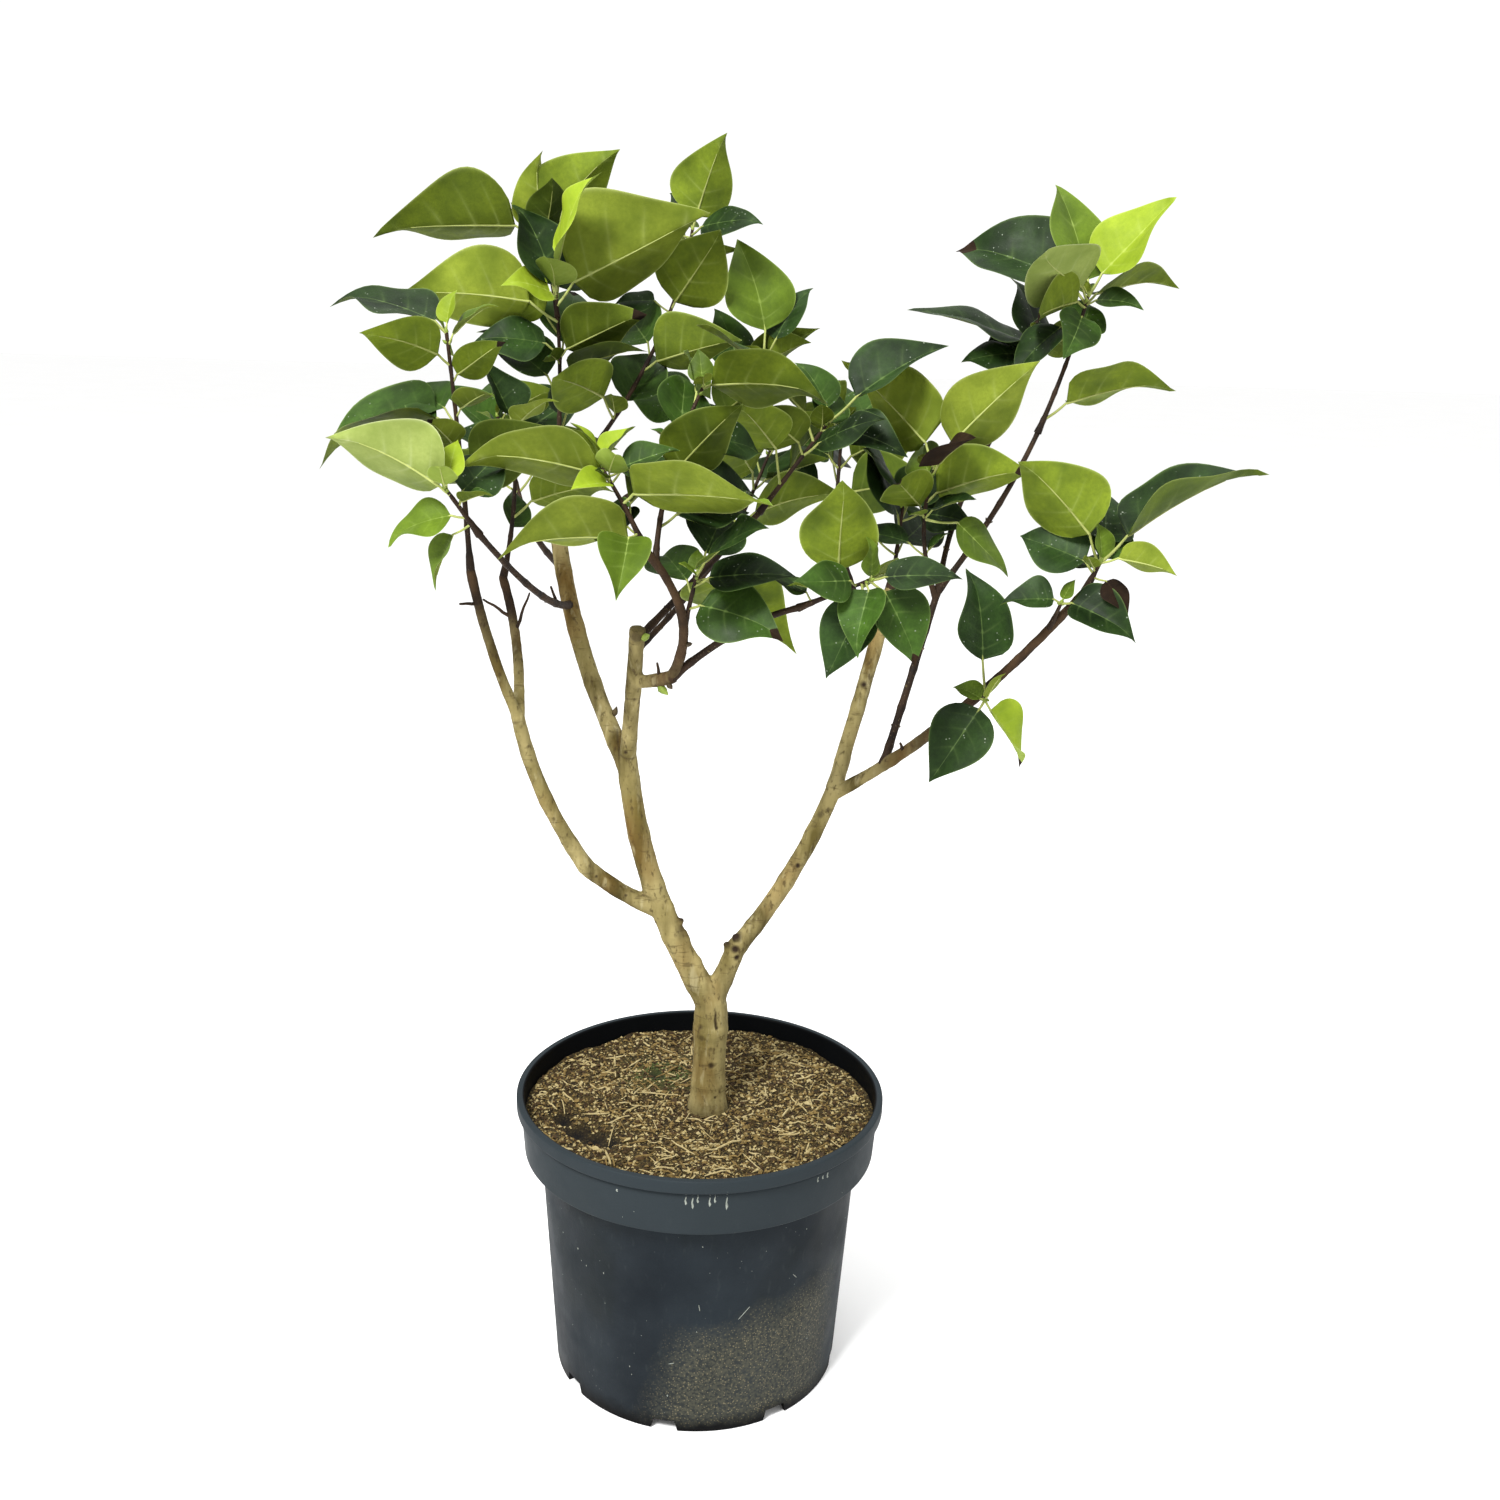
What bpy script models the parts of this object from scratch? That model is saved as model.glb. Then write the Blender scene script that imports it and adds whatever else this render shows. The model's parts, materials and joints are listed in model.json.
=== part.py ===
"""Young lilac in a ten-litre nursery pot: pot, compost, trunk, boughs and masses of leaves.

Metres, +Z up. The origin is the middle of the pot's underside. +X is to the right and +Y away
from the viewer. Bearings are in degrees about +Z: 0 right, 90 away, 180 left, 270 to the viewer.
"""
import math
import random
from collections import namedtuple

import bmesh
import bpy
from mathutils import Matrix, Vector, noise
from mathutils.bvhtree import BVHTree

# Clearances
GAP = 0.0003
LEAF_ROOM = 0.0007
STEM_SUNK = 0.002

# Pot
RIM_RADIUS = 0.140
POT_HEIGHT = 0.225
BEAD_HEIGHT = 0.010
BEAD_PROUD = 0.0035
COLLAR_HEIGHT = 0.045
COLLAR_FLARE = 0.0025
STEP_WIDTH = 0.0125
FOOT_RADIUS = 0.110
WALL = 0.0022
FLOOR = 0.003
LIP_ROUND = 0.0012
POT_STEPS = 40
DRAIN_COUNT = 8
DRAIN_FIRST = math.radians(260)
DRAIN_WIDTH = 0.020
DRAIN_HEIGHT = 0.009
DRAIN_DEPTH = 0.010

# Compost
SOIL_LEVEL = 0.209
SOIL_RINGS = 6
SOIL_RELIEF = 0.005
SOIL_LUMPS = 45.0
SOIL_CALM_RADIUS = 0.050

# Trunk
TRUNK_FOOT = Vector((0.006, -0.002, SOIL_LEVEL + GAP))
TRUNK_FORK = Vector((0.007, 0.003, 0.295))
TRUNK_RADII = (0.0118, 0.0132)
FLARE_PROUD = 0.0045
FLARE_HEIGHT = 0.012
FOOT_LEVELLED = 0.0012

# Wood: sides of a limb and rings along it
TRUNK_SIDES_LEVEL = 3
LIMB_SIDES_LEVEL = 2
STEM_SIDES_LEVEL = 1
LIMB_RINGS = 6
STEM_RINGS = 5
STEM_RADII = (0.0019, 0.0011)
TWIG_RADII = (0.0014, 0.0009)

# Leaf: fractions of its length along the midrib, and of its width at each of them
BLADE_SECTIONS = ((0.03, 0.27), (0.28, 0.50), (0.62, 0.37))
BLADE_WIDTH = 0.75
BLADE_THICKNESS = 0.022
BLADE_FOLD = 0.30
BLADE_DROOP = 0.16
STALK_RADII = (0.0009, 0.0007)
STALK_SIDES = 3
SLEEVE_SIDES = 8
STALK_SUNK = 0.16
STALK_OUTWARD = 0.8
STALK_ONWARD = 0.45
TRY_BEARINGS = (0, 14, -14, 28, -28, 44, -44, 62, -62)
TRY_RISES = (0, 13, -13, 26, -24)
TRY_SIZES = (1.0, 0.85, 0.72)
FACE_AWAY = 52
FACE_NEAR = -35
MOST_TO_VIEWER = -0.4

# Pairs by the rule: where the lowest is on its stem, how they crowd towards the tip, how sizes
# and rises change on the way, and how far chance moves each
LOWEST_PAIR = 0.12
CROWDING = 0.8
FOOT_SIZE = 1.08
TIP_LOSS = 0.40
TIP_RISE = 25
PAIR_SWING = 14
LEAF_SWING = 12
RISE_SWING = 16
TURN_SWING = 14
SIZE_SWING = 0.12
STALK_SHARES = (0.20, 0.34)

# Each limb: its parent, where on the parent it starts, its tip, how far its middle bows out,
# and its radius at the foot and the tip
Limb = namedtuple("Limb", "name parent at tip bow radii")
LIMBS = (
    Limb("left_limb", "trunk", 1.0, (-0.057, -0.010, 0.489), (-0.012, 0, -0.003), (0.0094, 0.0074)),
    Limb("right_limb_foot", "trunk", 1.0, (0.0255, 0.008, 0.339), (0, 0, 0), (0.0078, 0.0072)),
    Limb("right_limb", "right_limb_foot", 1.0, (0.095, 0.020, 0.463), (0.005, 0, -0.003),
         (0.0070, 0.0060)),
    Limb("left_bough_foot", "left_limb", 0.40, (-0.087, -0.016, 0.408), (-0.003, 0.001, -0.002),
         (0.0064, 0.0060)),
    Limb("left_bough", "left_bough_foot", 1.0, (-0.129, -0.055, 0.530), (-0.007, 0.003, -0.002),
         (0.0058, 0.0048)),
    Limb("left_outer_stem", "left_bough", 1.0, (-0.154, -0.085, 0.635), (-0.003, 0, 0),
         (0.0037, 0.0030)),
    Limb("left_inner_stem", "left_bough", 0.97, (-0.149, 0.015, 0.614), (0.004, 0.002, 0.002),
         (0.0040, 0.0031)),
    Limb("centre_left_stem", "left_limb", 0.96, (-0.117, 0.060, 0.675), (-0.012, 0.003, 0),
         (0.0068, 0.0058)),
    Limb("centre_right_stem", "left_limb", 0.99, (-0.047, -0.055, 0.591), (0, 0, 0),
         (0.0060, 0.0052)),
    Limb("crossing_branch", "centre_left_stem", 0.57, (-0.143, -0.115, 0.662), (0.006, 0.004, -0.015),
         (0.0029, 0.0019)),
    Limb("knuckle_branch", "centre_right_stem", 0.62, (-0.022, -0.060, 0.561), (0, 0, -0.001),
         (0.0042, 0.0047)),
    Limb("arched_front_branch", "knuckle_branch", 0.93, (-0.039, -0.120, 0.656), (0.016, -0.003, 0),
         (0.0036, 0.0029)),
    Limb("low_slender_branch", "knuckle_branch", 0.97, (0.061, -0.100, 0.618), (0.002, 0, 0.008),
         (0.0027, 0.0020)),
    Limb("middle_slender_branch", "centre_right_stem", 0.93, (0.034, 0.000, 0.667), (0, 0, 0),
         (0.0027, 0.0020)),
    Limb("right_stem", "right_limb", 1.0, (0.132, 0.050, 0.607), (0, 0, 0), (0.0059, 0.0051)),
    Limb("right_outer_bough", "right_limb", 0.95, (0.248, -0.080, 0.632), (0.004, 0, -0.011),
         (0.0049, 0.0027)),
    Limb("right_inner_branch", "right_outer_bough", 0.21, (0.167, 0.050, 0.610), (0, 0, 0),
         (0.0030, 0.0025)),
    Limb("right_back_branch", "right_inner_branch", 1.0, (0.212, 0.090, 0.729), (-0.007, 0.006, 0),
         (0.0022, 0.0017)),
    Limb("upper_right_branch", "right_inner_branch", 0.97, (0.233, 0.060, 0.723), (0.004, -0.004, 0),
         (0.0023, 0.0018)),
    Limb("back_left_branch", "centre_left_stem", 0.70, (-0.150, 0.135, 0.640), (0, 0.006, -0.006),
         (0.0028, 0.0020)),
    Limb("back_centre_branch", "centre_left_stem", 0.80, (-0.045, 0.130, 0.680), (0, 0.004, -0.004),
         (0.0028, 0.0020)),
    Limb("back_middle_branch", "centre_right_stem", 0.85, (0.010, 0.055, 0.635), (0, 0.004, -0.004),
         (0.0023, 0.0018)),
    Limb("back_right_branch", "right_stem", 0.72, (0.092, 0.140, 0.640), (0, 0.006, -0.006),
         (0.0028, 0.0020)),
)

# Each leaf that is set by hand: where on its stem, bearing, rise, length, turn of its face
# towards the viewer (negative) or away, and length of its stalk
Leaf = namedtuple("Leaf", "at bearing rise length turn stalk")

# Each mass: its limb, where on the limb it starts, the tip and bow of its stem, its pairs of
# leaves with the bearing of the first, the usual length and rise, side twigs as (at, tip), and
# the leaves set by hand
Mass = namedtuple("Mass", "name limb at tip bow pairs bearing length rise seed twigs leaves")
MASSES = (
    Mass("leaves_upper_left", "centre_left_stem", 1.0, (-0.115, 0.055, 0.812), (0.003, 0.004, 0),
         5, 60, 0.062, 30, 11, ((0.86, (-0.128, 0.092, 0.850)),),
         (Leaf(0.92, 12, 33, 0.105, 58, 0.020), Leaf(0.99, 300, 64, 0.066, -68, 0.022),
          Leaf(0.95, 152, 66, 0.068, -30, 0.010), Leaf(0.84, 184, 8, 0.086, 52, 0.024),
          Leaf(0.95, 190, 16, 0.040, -45, 0.008), Leaf(0.68, 176, 10, 0.052, -35, 0.012),
          Leaf(1.92, 184, 3, 0.098, 46, 0.024), Leaf(1.9, 20, 55, 0.074, 62, 0.010),
          Leaf(1.95, 50, 74, 0.052, -40, 0.006),
          Leaf(1.9, 230, 74, 0.046, 10, 0.006),
          Leaf(0.66, 4, 32, 0.062, 50, 0.008), Leaf(0.55, 356, 26, 0.058, 12, 0.010),
          Leaf(0.97, 300, 38, 0.038, 20, 0.008))),
    Mass("leaves_top", "centre_left_stem", 0.96, (-0.022, 0.120, 0.857), (0.017, 0, 0),
         4, 20, 0.060, 26, 23, (),
         (Leaf(1.0, 8, 73, 0.061, 84, 0.010), Leaf(0.98, 330, 14, 0.048, -35, 0.010),
          Leaf(0.97, 190, -16, 0.052, -35, 0.010), Leaf(0.70, 6, 55, 0.066, 62, 0.006),
          Leaf(0.69, 180, 4, 0.030, -30, 0.014), Leaf(0.47, 2, 22, 0.064, 52, 0.012),
          Leaf(1.0, 170, 70, 0.030, -20, 0.006))),
    Mass("leaves_far_left", "left_outer_stem", 1.0, (-0.163, -0.100, 0.783), (0.002, -0.006, 0),
         3, 30, 0.050, 20, 5, (),
         (Leaf(1.0, 172, 22, 0.066, -10, 0.010), Leaf(0.87, 180, 18, 0.052, 58, 0.010),
          Leaf(0.80, 10, 66, 0.036, 55, 0.006),
          Leaf(1.0, 60, 76, 0.022, 0, 0.006), Leaf(0.95, 350, 46, 0.032, -20, 0.008),
          Leaf(0.62, 172, -8, 0.084, -8, 0.014), Leaf(0.66, 320, 30, 0.034, 20, 0.008),
          Leaf(0.50, 240, 40, 0.034, 30, 0.008))),
    Mass("leaves_left_inner", "left_inner_stem", 1.0, (-0.142, 0.030, 0.716), (0.004, 0, 0),
         2, 60, 0.054, 26, 8, (),
         (Leaf(1.0, 150, 66, 0.044, 0, 0.010), Leaf(0.98, 330, 40, 0.038, 10, 0.008),
          Leaf(0.22, 100, 66, 0.036, -40, 0.014), Leaf(0.80, 185, 20, 0.044, -30, 0.010))),
    Mass("leaves_left_front", "crossing_branch", 1.0, (-0.160, -0.130, 0.691), (0, 0, 0),
         1, 110, 0.050, 20, 17, (),
         (Leaf(0.88, 186, 31, 0.071, 62, 0.008), Leaf(0.38, 190, -14, 0.043, -35, 0.010),
          Leaf(0.95, 70, 70, 0.028, 0, 0.006), Leaf(0.25, 200, -60, 0.036, -10, 0.014),
          Leaf(0.98, 300, 60, 0.024, 0, 0.004))),
    Mass("leaves_centre_front", "arched_front_branch", 1.0, (-0.066, -0.110, 0.704), (0.002, -0.004, 0),
         2, 60, 0.046, 25, 31, (),
         (Leaf(0.08, 188, 4, 0.080, 30, 0.010), Leaf(0.58, 5, 9, 0.096, 30, 0.010),
          Leaf(0.86, 178, 14, 0.084, 45, 0.008), Leaf(1.0, 200, 66, 0.030, 0, 0.004),
          Leaf(1.0, 20, 56, 0.028, 0, 0.006), Leaf(0.85, 290, 40, 0.030, 20, 0.006),
          Leaf(0.20, 184, -6, 0.044, -30, 0.012), Leaf(0.22, 262, -36, 0.044, 0, 0.012),
          Leaf(0.90, 10, -8, 0.038, -30, 0.010), Leaf(0.80, 186, 6, 0.030, -20, 0.004))),
    Mass("leaves_centre_upright", "arched_front_branch", 0.90, (-0.006, -0.060, 0.752), (-0.006, 0, 0),
         3, 110, 0.054, 20, 29, (),
         (Leaf(0.45, 352, 50, 0.064, 62, 0.008), Leaf(0.66, 350, -4, 0.056, -40, 0.016),
          Leaf(1.0, 355, 4, 0.076, 48, 0.006), Leaf(0.30, 330, 10, 0.062, -40, 0.014),
          Leaf(0.20, 20, 6, 0.060, -40, 0.016))),
    Mass("leaves_middle", "middle_slender_branch", 1.0, (0.080, 0.030, 0.727), (0, 0, 0),
         3, 80, 0.052, 22, 37, (),
         (Leaf(0.78, 176, 46, 0.094, 24, 0.022), Leaf(1.0, 4, 38, 0.074, -36, 0.026),
          Leaf(0.30, 230, 42, 0.056, 30, 0.028), Leaf(0.90, 330, -10, 0.050, -40, 0.014),
          Leaf(1.0, 160, 60, 0.040, -30, 0.010))),
    Mass("leaves_centre_low", "arched_front_branch", 0.40, (-0.006, -0.105, 0.638), (0, 0, 0),
         1, 100, 0.046, 20, 41, (),
         (Leaf(1.0, 10, 50, 0.062, -35, 0.014), Leaf(0.8, 350, 12, 0.056, -35, 0.012),
          Leaf(0.9, 350, -14, 0.092, 42, 0.008), Leaf(0.9, 60, 42, 0.056, -30, 0.020),
          Leaf(0.4, 345, -6, 0.060, -38, 0.010))),
    Mass("leaves_low_middle", "low_slender_branch", 1.0, (0.103, -0.120, 0.640), (0, 0, 0),
         2, 100, 0.050, 0, 43, (),
         (Leaf(0.38, 272, 72, 0.068, 0, 0.022),
          Leaf(1.0, 352, 10, 0.048, -35, 0.010), Leaf(0.9, 205, -62, 0.054, -48, 0.012),
          Leaf(1.0, 330, -58, 0.052, -48, 0.012), Leaf(0.2, 176, 30, 0.030, -30, 0.008),
          Leaf(0.95, 262, -60, 0.044, 0, 0.008))),
    Mass("leaves_right_stem", "right_stem", 1.0, (0.138, 0.058, 0.668), (0, 0, 0),
         2, 20, 0.056, 18, 47, (),
         (Leaf(0.80, 356, -4, 0.044, -40, 0.014), Leaf(0.72, 120, 68, 0.074, -26, 0.010),
          Leaf(1.0, 165, 20, 0.048, -40, 0.012))),
    Mass("leaves_right_inner", "right_inner_branch", 0.93, (0.156, 0.030, 0.696), (-0.008, 0, 0),
         3, 100, 0.050, 26, 53, (),
         (Leaf(1.0, 172, 44, 0.082, 74, 0.020), Leaf(1.0, 4, 50, 0.080, 66, 0.022),
          Leaf(0.75, 8, 22, 0.068, 48, 0.010), Leaf(0.62, 350, -36, 0.054, -34, 0.024),
          Leaf(0.95, 332, 34, 0.048, -50, 0.012))),
    Mass("leaves_right_back", "right_back_branch", 1.0, (0.236, 0.100, 0.775), (0, 0, 0),
         2, 100, 0.052, 30, 59, (),
         (Leaf(0.95, 178, 23, 0.090, -14, 0.014), Leaf(1.0, 150, 70, 0.054, -20, 0.010),
          Leaf(0.9, 200, 0, 0.050, -30, 0.010))),
    Mass("leaves_upper_right", "upper_right_branch", 1.0, (0.263, 0.070, 0.817), (0.002, 0, 0),
         1, 60, 0.050, 20, 61, (),
         (Leaf(0.10, 4, 20, 0.076, 34, 0.020), Leaf(1.0, 122, 68, 0.078, 0, 0.012),
          Leaf(0.95, 152, 24, 0.096, -32, 0.018), Leaf(0.97, 212, 22, 0.074, 56, 0.012),
          Leaf(1.0, 345, 54, 0.070, -60, 0.018), Leaf(0.95, 8, 40, 0.074, 30, 0.012),
          Leaf(0.92, 205, -8, 0.056, 50, 0.010),
          Leaf(0.85, 206, -30, 0.046, -35, 0.010), Leaf(0.94, 330, 0, 0.034, -40, 0.008),
          Leaf(0.80, 190, -40, 0.048, -30, 0.014))),
    Mass("leaves_far_right", "right_outer_bough", 1.0, (0.254, -0.086, 0.650), (0, 0, 0),
         1, 70, 0.048, 16, 67, (),
         (Leaf(0.9, 176, 48, 0.068, 66, 0.022), Leaf(1.0, 2, 39, 0.093, 4, 0.024),
          Leaf(0.9, 80, 44, 0.056, -20, 0.016), Leaf(1.0, 345, -4, 0.038, 50, 0.012),
          Leaf(0.5, 320, -40, 0.026, -30, 0.010), Leaf(0.6, 150, 20, 0.050, -40, 0.010))),
    Mass("leaves_right_low", "right_outer_bough", 0.86, (0.232, -0.080, 0.622), (0, 0, 0),
         0, 0, 0.050, 10, 69, (),
         (Leaf(1.0, 178, 2, 0.034, -40, 0.006), Leaf(1.0, 325, -15, 0.048, -40, 0.008))),
    Mass("leaves_lower_right", "right_outer_bough", 0.62, (0.190, -0.056, 0.550), (0, 0, 0),
         0, 0, 0.050, 10, 71, (),
         (Leaf(0.6, 110, 80, 0.062, 10, 0.030), Leaf(1.0, 206, -50, 0.060, -38, 0.008),
          Leaf(1.0, 330, -48, 0.052, -42, 0.008))),
    Mass("leaves_back_left", "back_left_branch", 1.0, (-0.175, 0.165, 0.715), (0, 0.004, 0),
         5, 30, 0.064, 22, 73, (), ()),
    Mass("leaves_back_centre", "back_centre_branch", 1.0, (0.033, 0.120, 0.765), (0, 0.010, -0.006),
         5, 70, 0.062, 24, 79, (),
         (Leaf(1.0, 150, 72, 0.072, -36, 0.022), Leaf(1.0, 20, 60, 0.050, -10, 0.018))),
    Mass("leaves_back_middle", "back_middle_branch", 1.0, (0.040, 0.105, 0.700), (0, 0.006, -0.004),
         5, 30, 0.060, 18, 97, (), ()),
    Mass("leaves_back_right", "back_right_branch", 1.0, (0.098, 0.185, 0.715), (0, 0.006, 0),
         6, 10, 0.066, 22, 83, (), ()),
)

# Materials: colour and roughness
FINISHES = {
    "pot": ((0.045, 0.055, 0.062), 0.55),
    "compost": ((0.105, 0.066, 0.040), 0.95),
    "bark": ((0.300, 0.225, 0.120), 0.80),
    "young_bark": ((0.055, 0.040, 0.026), 0.65),
    "leaf": ((0.090, 0.150, 0.030), 0.55),
}
YOUNG_WOOD_RADIUS = 0.0032
SHARP_ANGLE = 40


def clear_scene():
    for item in list(bpy.data.objects):
        bpy.data.objects.remove(item, do_unlink=True)


def new_collection(name):
    collection = bpy.data.collections.new(name)
    bpy.context.scene.collection.children.link(collection)
    return collection


def make_material(name):
    colour, roughness = FINISHES[name]
    material = bpy.data.materials.new(name)
    material.use_nodes = True
    shader = material.node_tree.nodes["Principled BSDF"]
    shader.inputs["Base Color"].default_value = (*colour, 1.0)
    shader.inputs["Roughness"].default_value = roughness
    shader.inputs["Metallic"].default_value = 0.0
    material.diffuse_color = (*colour, 1.0)
    return material


def place(mesh, name, collection, material=None):
    """Put a mesh in the scene as a named object."""
    item = bpy.data.objects.new(name, mesh)
    collection.objects.link(item)
    if material:
        mesh.materials.clear()
        mesh.materials.append(material)
    return item


def smooth(mesh):
    mesh.shade_smooth()
    mesh.set_sharp_from_angle(angle=math.radians(SHARP_ANGLE))


def mesh_from(body, name):
    """A new mesh from a bmesh, which is freed."""
    mesh = bpy.data.meshes.new(name)
    body.to_mesh(mesh)
    body.free()
    return mesh


def evaluated_mesh(item):
    """The object's mesh with its modifiers applied, or a curve's as a mesh."""
    bpy.context.view_layer.update()
    graph = bpy.context.evaluated_depsgraph_get()
    return bpy.data.meshes.new_from_object(item.evaluated_get(graph))


def largest_body(mesh):
    """Keep the one outward body of most volume: drop loose scraps and sealed hollows."""
    body = bmesh.new()
    body.from_mesh(mesh)
    left = set(body.faces)
    islands = []
    while left:
        stack = [left.pop()]
        island = list(stack)
        while stack:
            clean = [edge for edge in stack.pop().edges if len(edge.link_faces) == 2]
            for face in {face for edge in clean for face in edge.link_faces} & left:
                left.remove(face)
                stack.append(face)
                island.append(face)
        islands.append(island)

    def volume(island):
        total = 0.0
        for face in island:
            corners = [vert.co for vert in face.verts]
            for second, third in zip(corners[1:], corners[2:]):
                total += corners[0].dot(second.cross(third)) / 6
        return total

    keep = max(islands, key=volume)
    spare = [face for island in islands if island is not keep for face in island]
    bmesh.ops.delete(body, geom=spare, context="FACES")
    body.to_mesh(mesh)
    body.free()


def combine(item, other, operation):
    """Apply a Boolean with an object or a collection, and keep one body."""
    cut = item.modifiers.new(operation.lower(), "BOOLEAN")
    cut.operation = operation
    cut.solver = "EXACT"
    if isinstance(other, bpy.types.Collection):
        cut.operand_type = "COLLECTION"
        cut.collection = other
    else:
        cut.object = other
    mesh = evaluated_mesh(item)
    item.modifiers.clear()
    old = item.data
    item.data = mesh
    bpy.data.meshes.remove(old)
    largest_body(mesh)


def remove_object(item):
    data = item.data
    bpy.data.objects.remove(item, do_unlink=True)
    if isinstance(data, bpy.types.Mesh):
        bpy.data.meshes.remove(data)
    else:
        bpy.data.curves.remove(data)


def turned(name, profile, steps, collection, material):
    """A solid turned about Z from (radius, height) pairs that run down its outer side."""
    mesh = bpy.data.meshes.new(name)
    points = [(radius, 0.0, height) for radius, height in profile]
    mesh.from_pydata(points, [(i, i + 1) for i in range(len(points) - 1)], [])
    item = place(mesh, name, collection, material)
    screw = item.modifiers.new("turn", "SCREW")
    screw.axis = "Z"
    screw.steps = steps
    screw.render_steps = steps
    screw.use_merge_vertices = True
    screw.use_smooth_shade = True
    screw.merge_threshold = 0.00001
    return item


def tube(name, points, radii, sides_level, collection, material=None):
    """A tapering tube with closed ends, as a mesh."""
    curve = bpy.data.curves.new(name, "CURVE")
    curve.dimensions = "3D"
    curve.bevel_depth = radii[0]
    curve.bevel_resolution = sides_level
    curve.use_fill_caps = True
    spline = curve.splines.new("POLY")
    spline.points.add(len(points) - 1)
    for knot, point, radius in zip(spline.points, points, radii):
        knot.co = (*point, 1.0)
        knot.radius = radius / radii[0]
    guide = bpy.data.objects.new(name + "_curve", curve)
    collection.objects.link(guide)
    mesh = evaluated_mesh(guide)
    matrix = guide.matrix_world.copy()
    remove_object(guide)
    body = bmesh.new()
    body.from_mesh(mesh)
    bmesh.ops.remove_doubles(body, verts=body.verts, dist=1e-6)
    bmesh.ops.recalc_face_normals(body, faces=body.faces)
    body.to_mesh(mesh)
    body.free()
    smooth(mesh)
    item = place(mesh, name, collection, material)
    item.matrix_world = matrix
    return item


def bent(start, end, bow, fraction):
    """A point on the curve from start to end whose middle is moved by bow."""
    control = (start + end) / 2 + bow * 2
    near = start.lerp(control, fraction)
    return near.lerp(control.lerp(end, fraction), fraction)


class Wood:
    """One limb, stem or twig: a bent line with a radius all along it."""

    def __init__(self, start, end, bow, radii, rings, flare=0.0):
        self.start, self.end, self.bow = Vector(start), Vector(end), Vector(bow)
        self.radii, self.rings, self.flare = radii, rings, flare

    def point(self, fraction):
        return bent(self.start, self.end, self.bow, fraction)

    def direction(self, fraction):
        step = 0.02
        low, high = max(0.0, fraction - step), min(1.0, fraction + step)
        return (self.point(high) - self.point(low)).normalized()

    def radius(self, fraction):
        height = fraction * (self.end - self.start).length
        spread = self.flare * math.exp(-height / FLARE_HEIGHT)
        return self.radii[0] + (self.radii[1] - self.radii[0]) * fraction + spread

    def tube(self, name, sides_level, collection, material=None, grown=0.0):
        """The tube of this piece, or one grown all round by a clearance."""
        fractions = [ring / self.rings for ring in range(self.rings + 1)]
        if self.flare:
            fractions = [fraction ** 2 for fraction in fractions]
        points = [self.point(fraction) for fraction in fractions]
        points[0] = points[0] - self.direction(0.0) * grown
        points[-1] = points[-1] + self.direction(1.0) * grown
        radii = [self.radius(fraction) + grown for fraction in fractions]
        return tube(name, points, radii, sides_level, collection, material)

    def sleeve(self, room):
        """A plain sleeve round the piece, with room all round, to test leaves against."""
        body = bmesh.new()
        for ring in range(self.rings):
            low, high = ring / self.rings, (ring + 1) / self.rings
            radii = (self.radius(low) + room, self.radius(high) + room)
            add_cone(body, self.point(low), self.point(high), radii, SLEEVE_SIDES)
        return tree_and_free(body)


def tree_of(mesh):
    body = bmesh.new()
    body.from_mesh(mesh)
    return tree_and_free(body)


def blade(base, along, face, length, grown=0.0):
    """Points and faces of one closed leaf blade, thick along its midrib and folded up at it."""
    across = along.cross(face)
    thick = length * BLADE_THICKNESS / 2 + grown

    def rib(fraction):
        return base + along * length * fraction - face * length * BLADE_DROOP * fraction ** 2

    points = [rib(0.0), rib(1.0 + grown / length)]
    for fraction, half in BLADE_SECTIONS:
        side = half * length * BLADE_WIDTH + grown
        for sign in (1, -1):
            points.append(rib(fraction) + across * side * sign + face * side * BLADE_FOLD)
    for fraction, _ in BLADE_SECTIONS[1:]:
        for sign in (1, -1):
            points.append(rib(fraction) + face * thick * sign)
    faces = []
    last = len(BLADE_SECTIONS) - 1
    for sheet in (0, 1):
        low, high = 8 + sheet, 10 + sheet
        for side in (0, 1):
            rim = [2 + side + 2 * section for section in range(last + 1)]
            patch = [(0, rim[0], low), (rim[0], rim[1], low), (rim[1], rim[2], high, low),
                     (rim[2], 1, high)]
            if sheet == side:
                patch = [tuple(reversed(corners)) for corners in patch]
            faces += patch
    return points, faces


def add_cone(body, start, end, radii, sides):
    """Add a closed tapering piece that runs from start to end."""
    span = end - start
    turn = span.to_track_quat("Z", "Y").to_matrix().to_4x4()
    bmesh.ops.create_cone(body, cap_ends=True, segments=sides, radius1=radii[0], radius2=radii[1],
                          depth=span.length, matrix=Matrix.Translation((start + end) / 2) @ turn)


def tree_and_free(body):
    tree = BVHTree.FromBMesh(body)
    body.free()
    return tree


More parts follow.
